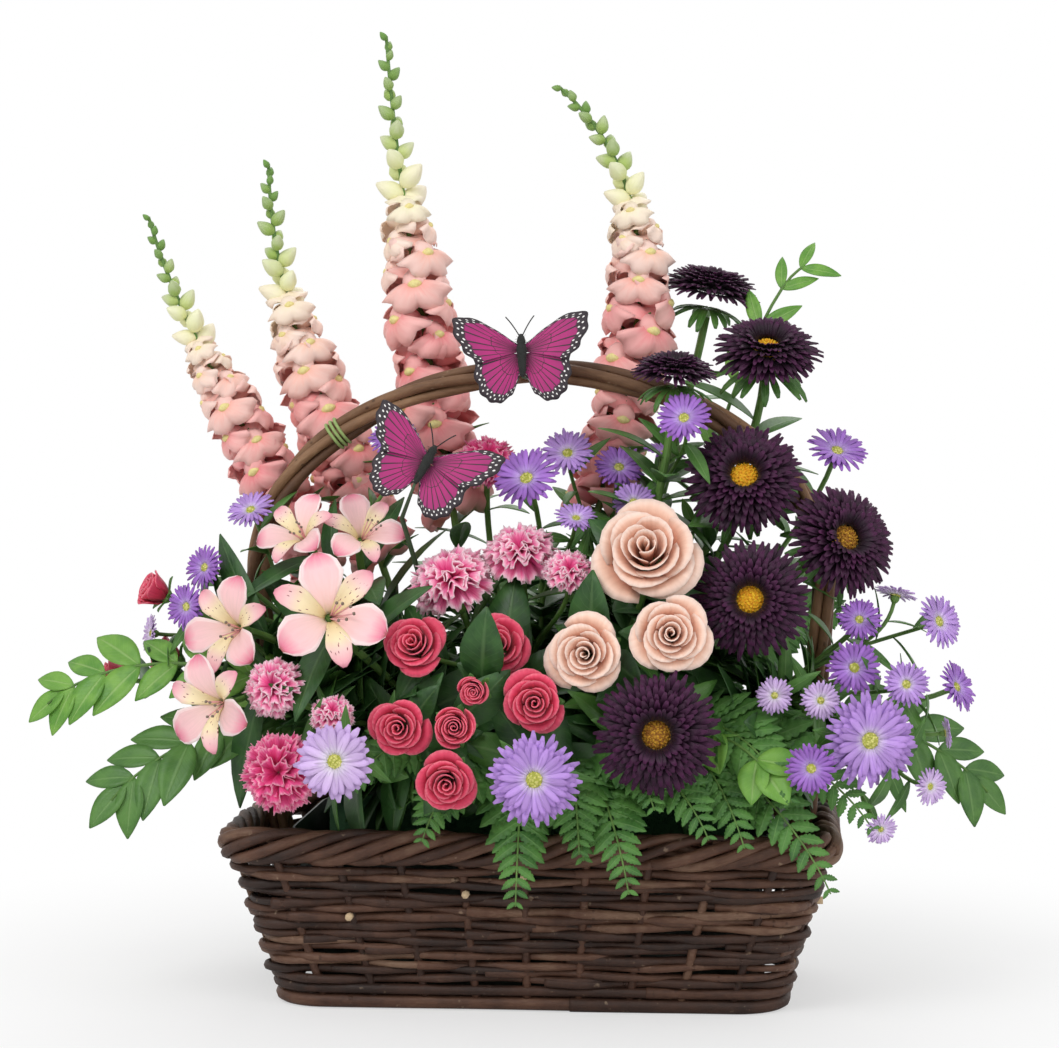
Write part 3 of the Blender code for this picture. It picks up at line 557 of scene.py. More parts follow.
def stem_leaves(piece, route, rng, count, length, finish, low=0.12, high=0.85, width=0.2, bend=0.25):
    """Leaves that leave a stem in a spiral and stand out from it."""
    t = np.linspace(low, high, count) + rng.uniform(-0.02, 0.02, count)
    base = bezier(route, t)
    along = unit(bezier(route, t + 0.01) - base)
    turn = np.arange(count) * 2.4 + rng.uniform(0, TAU)
    side = unit(np.cross(along, np.array((0.3, 1.0, 0.2))))
    out = side * np.cos(turn)[:, None] + np.cross(along, side) * np.sin(turn)[:, None]
    way = out * 0.9 + along * 0.55
    size = length * rng.uniform(0.7, 1.2, count)
    grid = leaves(base, way, along - out * 0.3, size, size * width, bend)
    piece.sheets(grid, 0.0004, finish, rng.random(count))


def rooted(route, count):
    """Points along a route, after one at the bottom of its hole in the foam."""
    path = bezier(route, np.linspace(0, 1, count))
    return np.concatenate(((path[0] - UP * SOCKET_DEPTH)[None], path))


def stem(piece, route, radius, from_foam):
    """A green stem or branch along a route."""
    path = rooted(route, 18) if from_foam else bezier(route, np.linspace(0, 1, 18))
    piece.tubes(path, radius, 7, "stem", 0.4)


# ---- flower heads, each in its own frame with Z the way it faces ----

def place(local, middle, axes):
    """Points in a head's own frame, moved to where the head is."""
    return local @ axes + middle


def rays(turn, start, length, lift, width, cup=0.2, height=0.0, rows=7, cols=3, tip=0.35):
    """Petals (k, rows, cols, 3) that start at a distance from the axis and run outwards. Their slope goes
    from lift[0] to lift[1] along them, and their width swells past the middle and narrows to the tip."""
    k = len(turn)
    share = np.linspace(0, 1, rows)
    slope = lift[0][:, None] + (lift[1] - lift[0])[:, None] * share
    step = length[:, None] / (rows - 1)
    zero = np.zeros((k, 1))
    run = np.concatenate((zero, np.cumsum(np.cos(slope[:, :-1]) * step, axis=1)), axis=1)
    rise = np.concatenate((zero, np.cumsum(np.sin(slope[:, :-1]) * step, axis=1)), axis=1)
    half = np.interp(share, (0, 0.3, 0.7, 0.92, 1), (0.5, 0.85, 1, 0.75, tip)) * width
    across = np.linspace(-1, 1, cols)
    out = across[None, None, :] * half[None, :, None]
    up = (across**2)[None, None, :] * half[None, :, None] * cup
    radial = (start[:, None] + run)[..., None] - up * np.sin(slope)[..., None]
    z = (height + rise)[..., None] + up * np.cos(slope)[..., None]
    c, s = np.cos(turn)[:, None, None], np.sin(turn)[:, None, None]
    return np.stack((radial * c - out * s, radial * s + out * c, z + 0 * out), axis=-1)


def dome(piece, middle, axes, radius, height, finish, rng, seeds=0):
    """A flower's middle: a low turned dome, with seeds set on it in a golden spiral."""
    angle = np.linspace(0, 1, 8)
    path = np.stack((0 * angle, 0 * angle, height * np.sin(angle * math.pi / 2) - height * 0.4), -1)
    piece.tubes(place(path, middle, axes), radius * np.maximum(np.cos(angle * math.pi / 2), 0.03), 16, finish)
    if seeds:
        i = np.arange(seeds)
        r = radius * 0.96 * np.sqrt((i + 0.5) / seeds)
        z = height * np.sqrt(np.maximum(0, 1 - (r / radius) ** 2)) - height * 0.4
        foot = np.stack((r * np.cos(i * 2.4), r * np.sin(i * 2.4), z), -1)
        tall = radius * 0.13
        path = foot[:, None] + np.array((0, 0, 1.0)) * np.linspace(-0.4, 1, 4)[None, :, None] * tall
        thick = radius * np.array((0.07, 0.08, 0.07, 0.02))
        piece.tubes(place(path, middle, axes), thick[None] * rng.uniform(0.8, 1.2, (seeds, 1)), 5, finish,
                    rng.random(seeds))


def aster_dark_head(piece, head, rng, middle_finish):
    """Six rings of narrow petals, the inner ones short and steep, and leafy fingers behind."""
    middle, axis, size = head
    size = size * 1.04
    axes = head_axes(axis, rng.uniform(0, TAU))
    for ring in range(6):
        share = ring / 5
        count = 26 + 5 * ring
        turn = (np.arange(count) + 0.5 * (ring % 2)) * TAU / count + rng.uniform(-0.05, 0.05, count)
        length = size * (0.34 + 0.36 * share) * rng.uniform(0.9, 1.08, count)
        lift = (np.full(count, 1.25 - 1.0 * share), np.full(count, 0.35 - 0.75 * share)
                + rng.uniform(-0.25, 0.25, count))
        start = np.full(count, size * (0.24 + 0.08 * share))
        petals = rays(turn, start, length, lift, size * 0.052, 0.5, size * (0.10 - 0.22 * share))
        piece.sheets(place(petals, middle, axes), 0.0004, "aster_dark", rng.random(count))
    dome(piece, middle, axes, size * 0.28, size * 0.20, middle_finish, rng, 70)
    count = 16
    turn = np.arange(count) * TAU / count + rng.uniform(-0.1, 0.1, count)
    lift = (np.full(count, -0.1), rng.uniform(-1.3, -0.5, count))
    fingers = rays(turn, np.full(count, size * 0.12), size * rng.uniform(0.6, 0.95, count), lift,
                   size * 0.075, 0.3, -size * 0.42)
    piece.sheets(place(fingers, middle, axes), 0.0005, "leaf_mid", rng.random(count))


def daisy_head(piece, head, rng, finish, count=26, rings=2, wide=0.085):
    """Rings of flat petals round a domed middle, and a small green cup behind."""
    middle, axis, size = head
    size = size * 1.07
    axes = head_axes(axis, rng.uniform(0, TAU))
    for ring in range(rings):
        turn = (np.arange(count) + 0.5 * ring) * TAU / count + rng.uniform(-0.06, 0.06, count)
        length = size * (0.80 - 0.10 * ring) * rng.uniform(0.9, 1.05, count)
        tilt = 0.22 + 0.18 * ring
        rise = np.full(count, tilt) + rng.uniform(-0.08, 0.08, count)
        lift = (rise, rng.uniform(-0.30, 0.05, count) + 0.1 * ring)
        petals = rays(turn, np.full(count, size * 0.17), length, lift, size * wide, 0.3, size * 0.02 * ring)
        piece.sheets(place(petals, middle, axes), 0.0003, finish, rng.random(count))
    dome(piece, middle, axes, size * 0.23, size * 0.14, "middle_lime", rng, 34)
    path = np.linspace(-0.40, -0.02, 5)[:, None] * np.array((0, 0, size))
    piece.tubes(place(path, middle, axes), size * np.array((0.07, 0.16, 0.21, 0.22, 0.12)), 10, "stem")


def cupped(turn, reach, radius, low, high, flare, curl, skew=0.10, rows=9, cols=9):
    """Rose petals (k, rows, cols, 3): each wraps part of a cup round the axis. Its distance from the axis
    swells with height and flares at the rim, its rim is lower at its sides, and one side lies outside the
    other."""
    s = np.linspace(0, 1, rows)[None, :, None]
    u = np.linspace(-1, 1, cols)[None, None, :]
    sizes = (radius, low, high, flare, curl)
    radius, low, high, flare, curl = (np.asarray(v, float)[:, None, None] for v in sizes)
    narrow = 0.45 + 0.55 * np.sin(np.clip(s * 1.25, 0, 1) * math.pi / 2)
    angle = turn[:, None, None] + u * reach[:, None, None] * narrow
    swell = np.sin(np.clip(s * 1.25, 0, 1) * math.pi / 2) ** 0.8
    rim = np.clip((s - 0.55) / 0.45, 0, 1) ** 1.6
    dist = radius * (0.18 + 0.82 * swell) * (1 + skew * u) + rim * flare * (1.15 - 0.6 * u * u)
    z = low + (high - low) * s * (1 - 0.22 * u**4) - rim**2 * curl * (1 - 0.3 * u * u)
    return np.stack((dist * np.cos(angle), dist * np.sin(angle), z + 0 * angle), axis=-1)


def rose_head(piece, head, rng, finish, openness=1.0):
    """A spiral of cupped petals from a tight heart to wide outer ones that roll back, over green sepals."""
    middle, axis, size = head
    axes = head_axes(axis, rng.uniform(0, TAU))
    count = 19
    i = np.arange(count)
    share = i / (count - 1)
    turn = i * 2.4 + rng.uniform(-0.35, 0.35, count)
    radius = size * (0.05 + 0.70 * share**0.9) * rng.uniform(0.94, 1.06, count)
    high = size * (0.56 - 0.02 * share - 0.36 * share**2.4 * openness) * rng.uniform(0.93, 1.04, count)
    low = np.full(count, -0.78 * size)
    flare = size * (0.03 + 0.36 * share**1.1) * (0.3 + 0.7 * openness)
    curl = size * (0.0 + 0.30 * share**1.5) * openness
    petals = cupped(turn, np.interp(share, (0, 0.2, 1), (2.0, 1.3, 0.86)), radius, low, high, flare, curl)
    piece.sheets(place(petals, middle, axes), 0.0005, finish, rng.random(count))
    path = np.linspace(-1.0, -0.62, 6)[:, None] * np.array((0, 0, size))
    piece.tubes(place(path, middle, axes), size * np.array((0.12, 0.24, 0.30, 0.36, 0.42, 0.30)), 12, "stem")
    turn = np.arange(5) * TAU / 5
    sepals = rays(turn, np.full(5, size * 0.2), np.full(5, size * 0.85), (np.full(5, 0.5), np.full(5, 0.1)),
                  size * 0.16, 0.4, -size * 0.82, tip=0.15)
    piece.sheets(place(sepals, middle, axes), 0.0005, "leaf_mid", rng.random(5))


def carnation_head(piece, head, rng, finish):
    """Fans that leave a green tube in layers; their outer part ripples and its edge is toothed."""
    middle, axis, size = head
    size = size * 1.05
    axes = head_axes(axis, rng.uniform(0, TAU))
    rows, cols = 9, 21
    s = np.linspace(0, 1, rows)[None, :, None]
    u = np.linspace(-1, 1, cols)[None, None, :]
    rings = ((5, 1.25, 0.62), (7, 0.85, 0.80), (8, 0.50, 0.95), (8, 0.12, 1.02))
    for ring, (count, slope, reach) in enumerate(rings):
        turn = (np.arange(count) + 0.37 * ring) * TAU / count + rng.uniform(-0.2, 0.2, count)
        turn = turn[:, None, None]
        phase = rng.uniform(0, TAU, (count, 1, 1))
        tilt = slope + rng.uniform(-0.15, 0.15, (count, 1, 1)) - s * 0.35
        teeth = 1 - 0.07 * (np.arange(cols) % 2)[None, None, :] * s**4
        out = size * reach * s * teeth
        ripple = size * 0.13 * s**1.5 * np.sin(u * 8.0 + phase + s * 2.0)
        half = size * 0.50 * (0.12 + 0.88 * s) * u
        radial = out * np.cos(tilt) - ripple * np.sin(tilt)
        z = out * np.sin(tilt) + ripple * np.cos(tilt) - 0.38 * size
        c, w = np.cos(turn), np.sin(turn)
        grid = np.stack((radial * c - half * w, radial * w + half * c, z + 0 * half), axis=-1)
        piece.sheets(place(grid, middle, axes), 0.0004, finish, rng.random(count))
    path = np.linspace(-1.3, -0.30, 8)[:, None] * np.array((0, 0, size))
    thick = size * np.array((0.12, 0.24, 0.27, 0.27, 0.27, 0.27, 0.29, 0.22))
    piece.tubes(place(path, middle, axes), thick, 12, "stem", 0.7)


def lily_head(piece, head, rng):
    """Three broad outer tepals and three narrow flecked inner ones that flare from a trumpet, six stamens."""
    middle, axis, size = head
    size = size * 1.12
    axes = head_axes(axis, rng.uniform(-0.3, 0.3))
    rows, cols = 13, 7
    s = np.linspace(0, 1, rows)[None, :, None]
    u = np.linspace(-1, 1, cols)[None, None, :]
    tepals = ((math.pi / 2, 0.42, "lily_outer", 1.0), (-math.pi / 2, 0.24, "lily_inner", 0.95))
    for first, wide, finish, long in tepals:
        turn = (first + np.arange(3) * TAU / 3 + rng.uniform(-0.08, 0.08, 3))[:, None, None]
        tilt = 1.25 - 1.45 * s
        step = size * long * 1.25 / (rows - 1)
        run = np.cumsum(np.cos(tilt) * step, axis=1)
        rise = np.cumsum(np.sin(tilt) * step, axis=1)
        shape = np.interp(s, (0, 0.35, 0.65, 0.88, 1), (0.16, 0.55, 1.0, 0.75, 0.14))
        half = size * wide * shape * u
        cup = size * 0.10 * shape * u * u
        radial = size * 0.05 + run - cup * np.sin(tilt)
        z = rise + cup * np.cos(tilt) - 0.62 * size
        c, w = np.cos(turn), np.sin(turn)
        grid = np.stack((radial * c - half * w, radial * w + half * c, z + 0 * half + 0 * turn), axis=-1)
        piece.sheets(place(grid, middle, axes), 0.0005, finish, rng.random(3))
    t = np.linspace(0, 1, 8)[None, :, None]
    turn = (-0.9 + 0.35 * np.arange(6))[:, None, None]
    out = np.array((0.10, 0.16, 0.22, 0.20, 0.15, 0.12))[:, None, None]
    radial = size * out * (0.3 + 1.6 * t)
    x, y = radial * np.cos(turn), radial * np.sin(turn) - size * 0.10 * t
    path = np.concatenate((x, y, size * (-0.5 + 0.72 * t) + 0 * x), -1)
    piece.tubes(place(path, middle, axes), size * 0.014, 5, "filament")
    tips = path[:, -1:, :] + np.array((0, 0, 1.0)) * np.linspace(-0.04, 0.05, 4)[None, :, None] * size
    piece.tubes(place(tips, middle, axes), size * np.array((0.012, 0.032, 0.032, 0.010)), 6, "anther")
    path = np.linspace(-0.85, -0.52, 5)[:, None] * np.array((0, 0, size))
    piece.tubes(place(path, middle, axes), size * np.array((0.09, 0.11, 0.12, 0.12, 0.10)), 9, "stem")


# ---- snapdragons ----

def fans(mouth, forward, down, size, spread, curl, phase, lobes, rows=9, cols=17):
    """A floret's lips (k, rows, cols, 3): fans that leave the mouth along down, open to spread either side,
    swing forward and then back by curl, ripple at the edge, and are notched between their lobes."""
    s = np.linspace(0, 1, rows)[None, :, None, None]
    u = np.linspace(-1, 1, cols)[None, None, :, None]
    side = unit(np.cross(forward, down))[:, None, None]
    forward, down, mouth = forward[:, None, None], down[:, None, None], mouth[:, None, None]
    size, phase = size[:, None, None, None], phase[:, None, None, None]
    edge = 1 - 0.20 * np.abs(np.cos(u * math.pi / 2 * lobes)) ** 6 * s - 0.25 * u**8 * s
    out = size * s * edge
    angle = u * spread
    ripple = size * 0.10 * s**2 * np.sin(u * 7 + phase)
    roll = size * 0.22 * s**6 * (1 + 0.4 * np.sin(u * 5 + phase))
    front = size * (0.55 * s - curl * s**2) + (ripple - roll)
    width = 0.25 + 0.75 * s
    return mouth + (down * np.cos(angle) + side * np.sin(angle) * width * 1.15) * out + forward * front \
        + side * u * size * 0.16


# The fourth spike's tip bends over, so its middle, its way and its end's radius are given here
BENT_TIP = (np.array((0.006, 0.064, 0.505)), unit(np.array((-0.75, 0.0, 0.66))), 0.0034)


def snapdragon(name, rng):
    """A spike whose florets shrink and turn to green buds towards the tip."""
    piece = Piece(name)
    ends = flat_ends(name)
    foot, tip = min(ends, key=lambda e: e[0][2]), max(ends, key=lambda e: e[0][2])
    if len(ends) == 1:
        tip = BENT_TIP
    route = stem_controls(foot[0] + UP * SOCKET_DEPTH, UP, tip[0], tip[1])
    widest = tip[2] / 0.14
    piece.tubes(rooted(route, 30), np.linspace(0.0028, 0.0010, 31), 7, "stem", 0.6)
    count = 46
    share = np.linspace(0, 1, count) ** 0.88
    t = 0.36 + 0.635 * share
    base = bezier(route, t)
    along = unit(bezier(route, t + 0.005) - bezier(route, t - 0.005))
    turn = np.arange(count) * 2.39 + rng.uniform(-0.25, 0.25, count)
    side = unit(np.cross(along, np.array((0.0, 1.0, 0.1))))
    out = side * np.cos(turn)[:, None] + np.cross(along, side) * np.sin(turn)[:, None]
    forward = unit(out + along * np.interp(share, (0, 0.6, 1), (0.15, 0.5, 1.2))[:, None])
    size = widest * np.interp(share, (0, 0.45, 0.66, 0.8, 1), (0.98, 0.92, 0.60, 0.40, 0.20))
    size = size * rng.uniform(0.88, 1.1, count)
    ripe = np.clip(np.interp(share, (0, 0.40, 0.58, 0.68, 0.80, 1), (0.98, 0.86, 0.62, 0.42, 0.16, 0.0))
                   + rng.uniform(-0.05, 0.05, count), 0, 1)
    open_ones = share < 0.64
    b, f, a, z, r = base[open_ones], forward[open_ones], along[open_ones], size[open_ones], ripe[open_ones]
    k = len(b)
    s = np.linspace(0, 1, 7)[None, :, None]
    tube = b[:, None] + f[:, None] * (0.08 + 0.72 * s) * z[:, None, None]
    piece.tubes(tube, z[:, None] * np.array((0.10, 0.20, 0.25, 0.26, 0.28, 0.30, 0.12)), 10, "snap", r)
    mouth = b + f * (0.60 * z)[:, None]
    phase = rng.uniform(0, TAU, k)
    down = unit(-a + f * (0.2 + (a * f).sum(1))[:, None])
    piece.sheets(fans(mouth, f, down, z * 0.82, 1.25, 0.70, phase, 3), 0.0005, "snap", r)
    piece.sheets(fans(mouth, f, -down, z * 0.80, 1.15, 0.62, phase + 2, 2), 0.0005, "snap", r)
    s = np.linspace(-1, 1, 6)[None, :, None]
    lip = mouth[:, None] + f[:, None] * (0.20 * z)[:, None, None] + down[:, None] * (0.16 * z)[:, None, None]
    cross = unit(np.cross(f, down))[:, None]
    palate = lip + cross * s * (0.17 * z)[:, None, None] - f[:, None] * (0.10 * z)[:, None, None]
    piece.tubes(palate, z[:, None] * np.array((0.03, 0.09, 0.12, 0.12, 0.09, 0.03)), 8, "throat")
    shut = ~open_ones
    b, f, z, r = base[shut], forward[shut], size[shut], ripe[shut]
    s = np.linspace(0, 1, 8)[None, :, None]
    bud = b[:, None] + f[:, None] * s * (1.25 * z)[:, None, None]
    piece.tubes(bud, z[:, None] * np.array((0.12, 0.30, 0.40, 0.42, 0.38, 0.30, 0.20, 0.06)), 9, "snap", r)
    bracts = leaves(base, along + out * 0.8, along - out, size * 0.75, size * 0.16, 0.1)
    piece.sheets(bracts, 0.0004, "leaf_mid", rng.random(count))
    stem_leaves(piece, route, rng, 9, 0.045, "leaf_mid", 0.1, 0.42, 0.13)
    piece.finish("snapdragon_pink", name)


# ---- greenery ----

def frond_route(name):
    """A frond's controls, from its solid: its foot is at the bottom of its hole in the foam, and the point
    farthest off is its tip."""
    points = triangles(name)[0].reshape(-1, 3)
    foam_high = np.array(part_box("floral_foam")[1])
    deep = np.abs(points[:, 2] - (foam_high[2] - SOCKET_DEPTH)) < 0.0006
    inside = (np.abs(points[:, :2]) < foam_high[:2]).all(axis=1)
    low = points[deep & inside]
    entry = low.mean(axis=0) + UP * SOCKET_DEPTH
    far = points[np.argmax(np.linalg.norm(points - entry, axis=1))]
    tip = points[np.linalg.norm(points - far, axis=1) < 0.0035].mean(axis=0)
    reach = UP * np.linalg.norm(tip - entry)
    return entry, entry + reach * 0.45, entry + (tip - entry) * 0.75 + reach * 0.3, tip


def pairs(route, share, rng, spread, facing=UP):
    """Places along a route in pairs, with the way out to either side and the face that looks up."""
    t = np.repeat(share, 2)
    base = bezier(route, t)
    along = unit(bezier(route, np.minimum(t + 0.01, 1.0) + 1e-4) - bezier(route, t - 0.01))
    level = unit(np.cross(along, np.array(facing, float)) + 1e-6)
    sign = np.tile((1.0, -1.0), len(share))[:, None]
    face = unit(np.cross(level, along))
    way = level * sign * spread + along * (1.15 - 0.4 * spread) + rng.uniform(-0.1, 0.1, (len(t), 3))
    return t, base, way, face


# Smaller fronds beside a frond, as shifts of its tip
BESIDE = {
    "fern_front_left": ((-0.050, 0.016, 0.030), (0.034, 0.012, 0.022), (-0.090, 0.020, 0.055)),
    "fern_front_centre": ((-0.026, 0.012, 0.018), (0.040, 0.014, 0.026), (0.012, 0.020, 0.040)),
    "fern_front_right": ((-0.044, 0.004, 0.022), (0.022, 0.020, 0.030), (-0.020, 0.010, 0.045)),
    "fern_back_left": (
        (-0.040, -0.03, 0.01), (0.050, -0.01, -0.03), (0.010, 0.005, -0.095), (-0.03, -0.05, -0.07)),
    "fern_back_middle": (
        (-0.050, -0.02, -0.05), (0.055, -0.01, -0.04), (-0.040, 0.0, -0.14), (0.035, 0.0, -0.13)),
    "fern_back_right": (
        (0.050, -0.04, 0.02), (-0.050, -0.01, 0.03), (0.0, 0.005, -0.09), (0.05, -0.05, -0.07)),
}


def fern(name, rng, longest=0.030, finish="fern"):
    """Fronds from one foot: lobed leaflets in pairs, longest a third of the way up and small at the tip."""
    piece = Piece(name)
    facing = (0.0, 0.8, 0.6) if "back" in name else (0.0, -0.85, 0.5)
    main = frond_route(name)
    for shift in ((0, 0, 0),) + BESIDE[name]:
        shift = np.array(shift, float)
        route = tuple(point + shift * part for point, part in zip(main, (0, 0.15, 0.8, 1)))
        piece.tubes(rooted(route, 24), np.linspace(0.0013, 0.0004, 25), 6, "stem", 0.5)
        share = np.linspace(0.30, 0.985, 17)
        t, base, way, face = pairs(route, share, rng, 1.0, facing)
        size = longest * np.interp(t, (0.30, 0.5, 1.0), (0.85, 1.0, 0.16)) * rng.uniform(0.9, 1.08, len(t))
        grid = leaves(base, way, face, size, size * 0.24, 0.18, 0.12, 6, 25, 3)
        piece.sheets(grid, 0.0003, finish, rng.random(len(t)))
        stem_leaves(piece, route, rng, 12, 0.042, "leaf_dark", 0.02, 0.30, 0.24, 0.5)
    piece.finish("foliage_green", name)


def sprig(name, rng, size=0.034, finish="leaf_bright", count=7, wide=0.24):
    """A leafy twig: pointed leaves to either side and one at the tip."""
    piece = Piece(name)
    route = frond_route(name)
    piece.tubes(rooted(route, 20), np.linspace(0.0016, 0.0007, 21), 6, "stem", 0.8)
    t, base, way, face = pairs(route, np.linspace(0.34, 0.90, count), rng, 0.75, (0.0, -0.8, 0.6))
    long = size * np.interp(t, (0.3, 0.7, 1), (0.8, 1.0, 0.75)) * rng.uniform(0.85, 1.1, len(t))
    blades = leaves(base, way, face, long, long * wide, 0.2, 0.25, 0, 11, 5)
    piece.sheets(blades, 0.0004, finish, rng.random(len(t)))
    end, ahead = bezier(route, 0.93), bezier(route, 1.0) - bezier(route, 0.93)
    last = leaves(end[None], ahead[None], face[-1:], [size * 0.8], [size * 0.8 * wide], 0.1, 0.25, 0, 11, 5)
    piece.sheets(last, 0.0004, finish, 0.9)
    piece.finish("foliage_green", name)


# ---- basket ----

CORNER = 0.026  # radius of the basket's corners, seen from above
FOOT_PROUD, RIM_PROUD = 0.0015, 0.0025  # how far the foot band and the rim stand out from the wall
ROW_COUNT, ROW_PITCH = 15, 0.0043
ROD = 0.00255  # radius of a wall rod
STAKE_PITCH, STAKE_COUNT = 0.033, 29
RIM_WAVES = 9  # turns a metre of the border's rods


def ring_path(share, half, corner):
    """Points and outward normals on a rounded rectangle at shares of its length, from the front's middle:
    straight runs, with quarter circles at the corners."""
    hx, hy = half
    long, short, round_one = 2 * (hx - corner), 2 * (hy - corner), corner * math.pi / 2
    ends = np.cumsum((long / 2, round_one, short, round_one, long, round_one, short, round_one, long / 2))
    at = (np.asarray(share) % 1.0) * ends[-1]
    part = np.minimum(np.searchsorted(ends, at), 8)
    inside = at - np.where(part > 0, ends[part - 1], 0)
    angle = np.array((-90, -90, 0, 0, 90, 90, 180, 180, 270.0))[part]
    bend = part % 2 == 1
    angle = np.radians(angle + np.where(bend, inside / corner * 180 / math.pi, 0))
    middle_x = np.array((0, 1, 1, 1, 1, -1, -1, -1, -1))[part] * (hx - corner)
    middle_y = np.array((-1, -1, -1, 1, 1, 1, 1, -1, -1))[part] * (hy - corner)
    way_x = np.array((1, 0, 0, 0, -1, 0, 0, 0, 1))[part] * inside
    way_y = np.array((0, 0, 1, 0, 0, 0, -1, 0, 0))[part] * inside
    normal = np.stack((np.cos(angle), np.sin(angle), 0 * angle), -1)
    x = middle_x + way_x + np.cos(angle) * corner
    y = middle_y + way_y + np.sin(angle) * corner
    return np.stack((x, y, 0 * x), -1), normal, ends[-1]


def box_half(name, share):
    """A node's half sizes along X and Y, and the height that lies a share of the way up it."""
    low, high = (np.array(v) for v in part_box(name))
    return (high - low)[:2] / 2, low[2] + (high[2] - low[2]) * share


def outline(z):
    """The basket's outer half sizes at a height, from its foot band and its rim."""
    foot, foot_z = box_half("basket_foot_band", 1)
    rim, rim_z = box_half("basket_rim", 1)
    share = (z - foot_z) / (rim_z - foot_z)
    foot, rim = foot - FOOT_PROUD, rim - RIM_PROUD
    return foot + (rim - foot) * share


def around(z, proud, start, span, count, wave=None, lift=None):
    """A path round the basket at a height, standing proud of its outline, with an in-and-out wave."""
    share = start + np.linspace(0, 1, count) * span
    path, normal, total = ring_path(share, outline(z) + proud, CORNER)
    length = share * total
    if wave is not None:
        path = path + normal * wave(length)[:, None]
    path[:, 2] = z + (lift(length) if lift is not None else 0)
    return path


def weave(rng):
    """The wall: tapering rods that pass in front of one stake and behind the next, row over row."""
    piece = Piece("basket_wall_weave")
    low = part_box("basket_wall")[0][2] + ROD
    for row in range(ROW_COUNT):
        z = low + row * ROW_PITCH
        start = rng.uniform(0, 1)
        for rod in range(4):
            phase = rng.uniform(0, TAU, 3)
            parity = math.pi * (row % 2)
            sway = rng.uniform(0.0005, 0.0012)

            def wave(length):
                return 0.0024 * np.sin(length * math.pi / STAKE_PITCH + parity) - 0.0042

            def lift(length):
                return sway * np.sin(length * 21 + phase[0]) + 0.0005 * np.sin(length * 67 + phase[1])

            path = around(z, 0.0, start + rod * 0.25, 0.285, 110, wave, lift)
            thick = ROD * rng.uniform(0.88, 1.12) * np.linspace(1.08, 0.80, 110)
            thick = thick * (1 + 0.05 * np.sin(np.linspace(0, 60, 110) + phase[2]))
            piece.tubes(path, thick, 8, "willow", rng.random())
    for stake in np.arange(0, 1, 1 / STAKE_COUNT):
        points = []
        for height in np.linspace(0.004, 0.096, 8):
            path = ring_path(np.array((stake,)), outline(height) - 0.0045, CORNER)[0]
            points.append(path[0] + UP * height)
        piece.tubes(np.array(points), 0.0023, 7, "willow", rng.random())
        nub = np.array(points[4])
        out = unit(nub * (0, 1, 0)) if abs(nub[1]) > 0.07 else unit(nub * (1, 0, 0))
        if rng.random() < 0.35:
            path = nub + out * np.linspace(0.002, 0.0075, 3)[:, None] + UP * rng.uniform(-0.02, 0.02)
            piece.tubes(path, 0.0021, 7, "cut_end", 0.6)
    piece.finish("willow_weave", "basket_wall")


def rim(rng):
    """The border: thick rods that sweep over and under each other in long arcs."""
    piece = Piece("basket_rim_border")
    middle = 0.0895
    for rod in range(6):
        shift = rod / 6
        phase = rng.uniform(0, TAU)

        def wave(length):
            return 0.0052 * np.cos((length * RIM_WAVES + shift) * TAU) - 0.0045

        def lift(length):
            swing = 0.0066 * np.sin((length * RIM_WAVES + shift) * TAU)
            return swing + 0.0007 * np.sin(length * 34 + phase)

        for part in range(3):
            path = around(middle, 0.0, shift / 3 + part / 3, 0.345, 150, wave, lift)
            thick = 0.0030 * np.linspace(1.12, 0.85, 150) * rng.uniform(0.92, 1.1)
            piece.tubes(path, thick, 8, "willow", rng.random())
    piece.finish("willow_weave", "basket_rim")


def foot(rng):
    """The foot: a thick rod round the bottom with a thinner one above it, each in two lengths."""
    piece = Piece("basket_foot_border")
    for z, radius, proud in ((0.0041, 0.0040, -0.0036), (0.0112, 0.0031, -0.0034)):
        for part in range(2):
            phase = rng.uniform(0, TAU)
            path = around(z, proud, part / 2 + z * 7, 0.505, 160, lambda s: 0.0005 * np.sin(s * 40 + phase))
            piece.tubes(path, radius * np.linspace(1.0, 0.9, 160), 9, "willow", rng.random())
    piece.finish("willow_weave", "basket_foot_band")


def base_rods(rng):
    """The underside: thin rods laid side by side along the basket."""
    piece = Piece("basket_base_rods")
    half = box_half("basket_base", 1)[0]
    count = 24
    for i in range(count):
        y = (i / (count - 1) * 2 - 1) * (half[1] - 0.003)
        x = np.linspace(-1, 1, 24) * (half[0] - 0.002 - 0.010 * max(0, abs(y) - 0.05) / 0.015)
        path = np.stack((x, 0 * x + y, 0.0030 + 0.0002 * np.sin(x * 90 + i * 2.0)), -1)
        piece.tubes(path, 0.0027, 8, "willow", rng.random())
    piece.finish("willow_weave", "basket_base")


# The handle's arch, as its solids have it. A leg is straight from its foot to the rim, and straight again
# from there to where the arch springs. The first stretch takes one part in LEG_PARTS of the leg.
ARCH_HALF_SPAN, ARCH_SPRING, ARCH_TOP = 0.158, 0.226, 0.341
LEG_AT_RIM, LEG_RIM_Z, LEG_FOOT_X, LEG_FOOT_Z = 0.1483, 0.100, 0.1380, 0.062
LEG_SHARE, LEG_PARTS = 0.36, 3.6
HANDLE_TURNS = 2.25


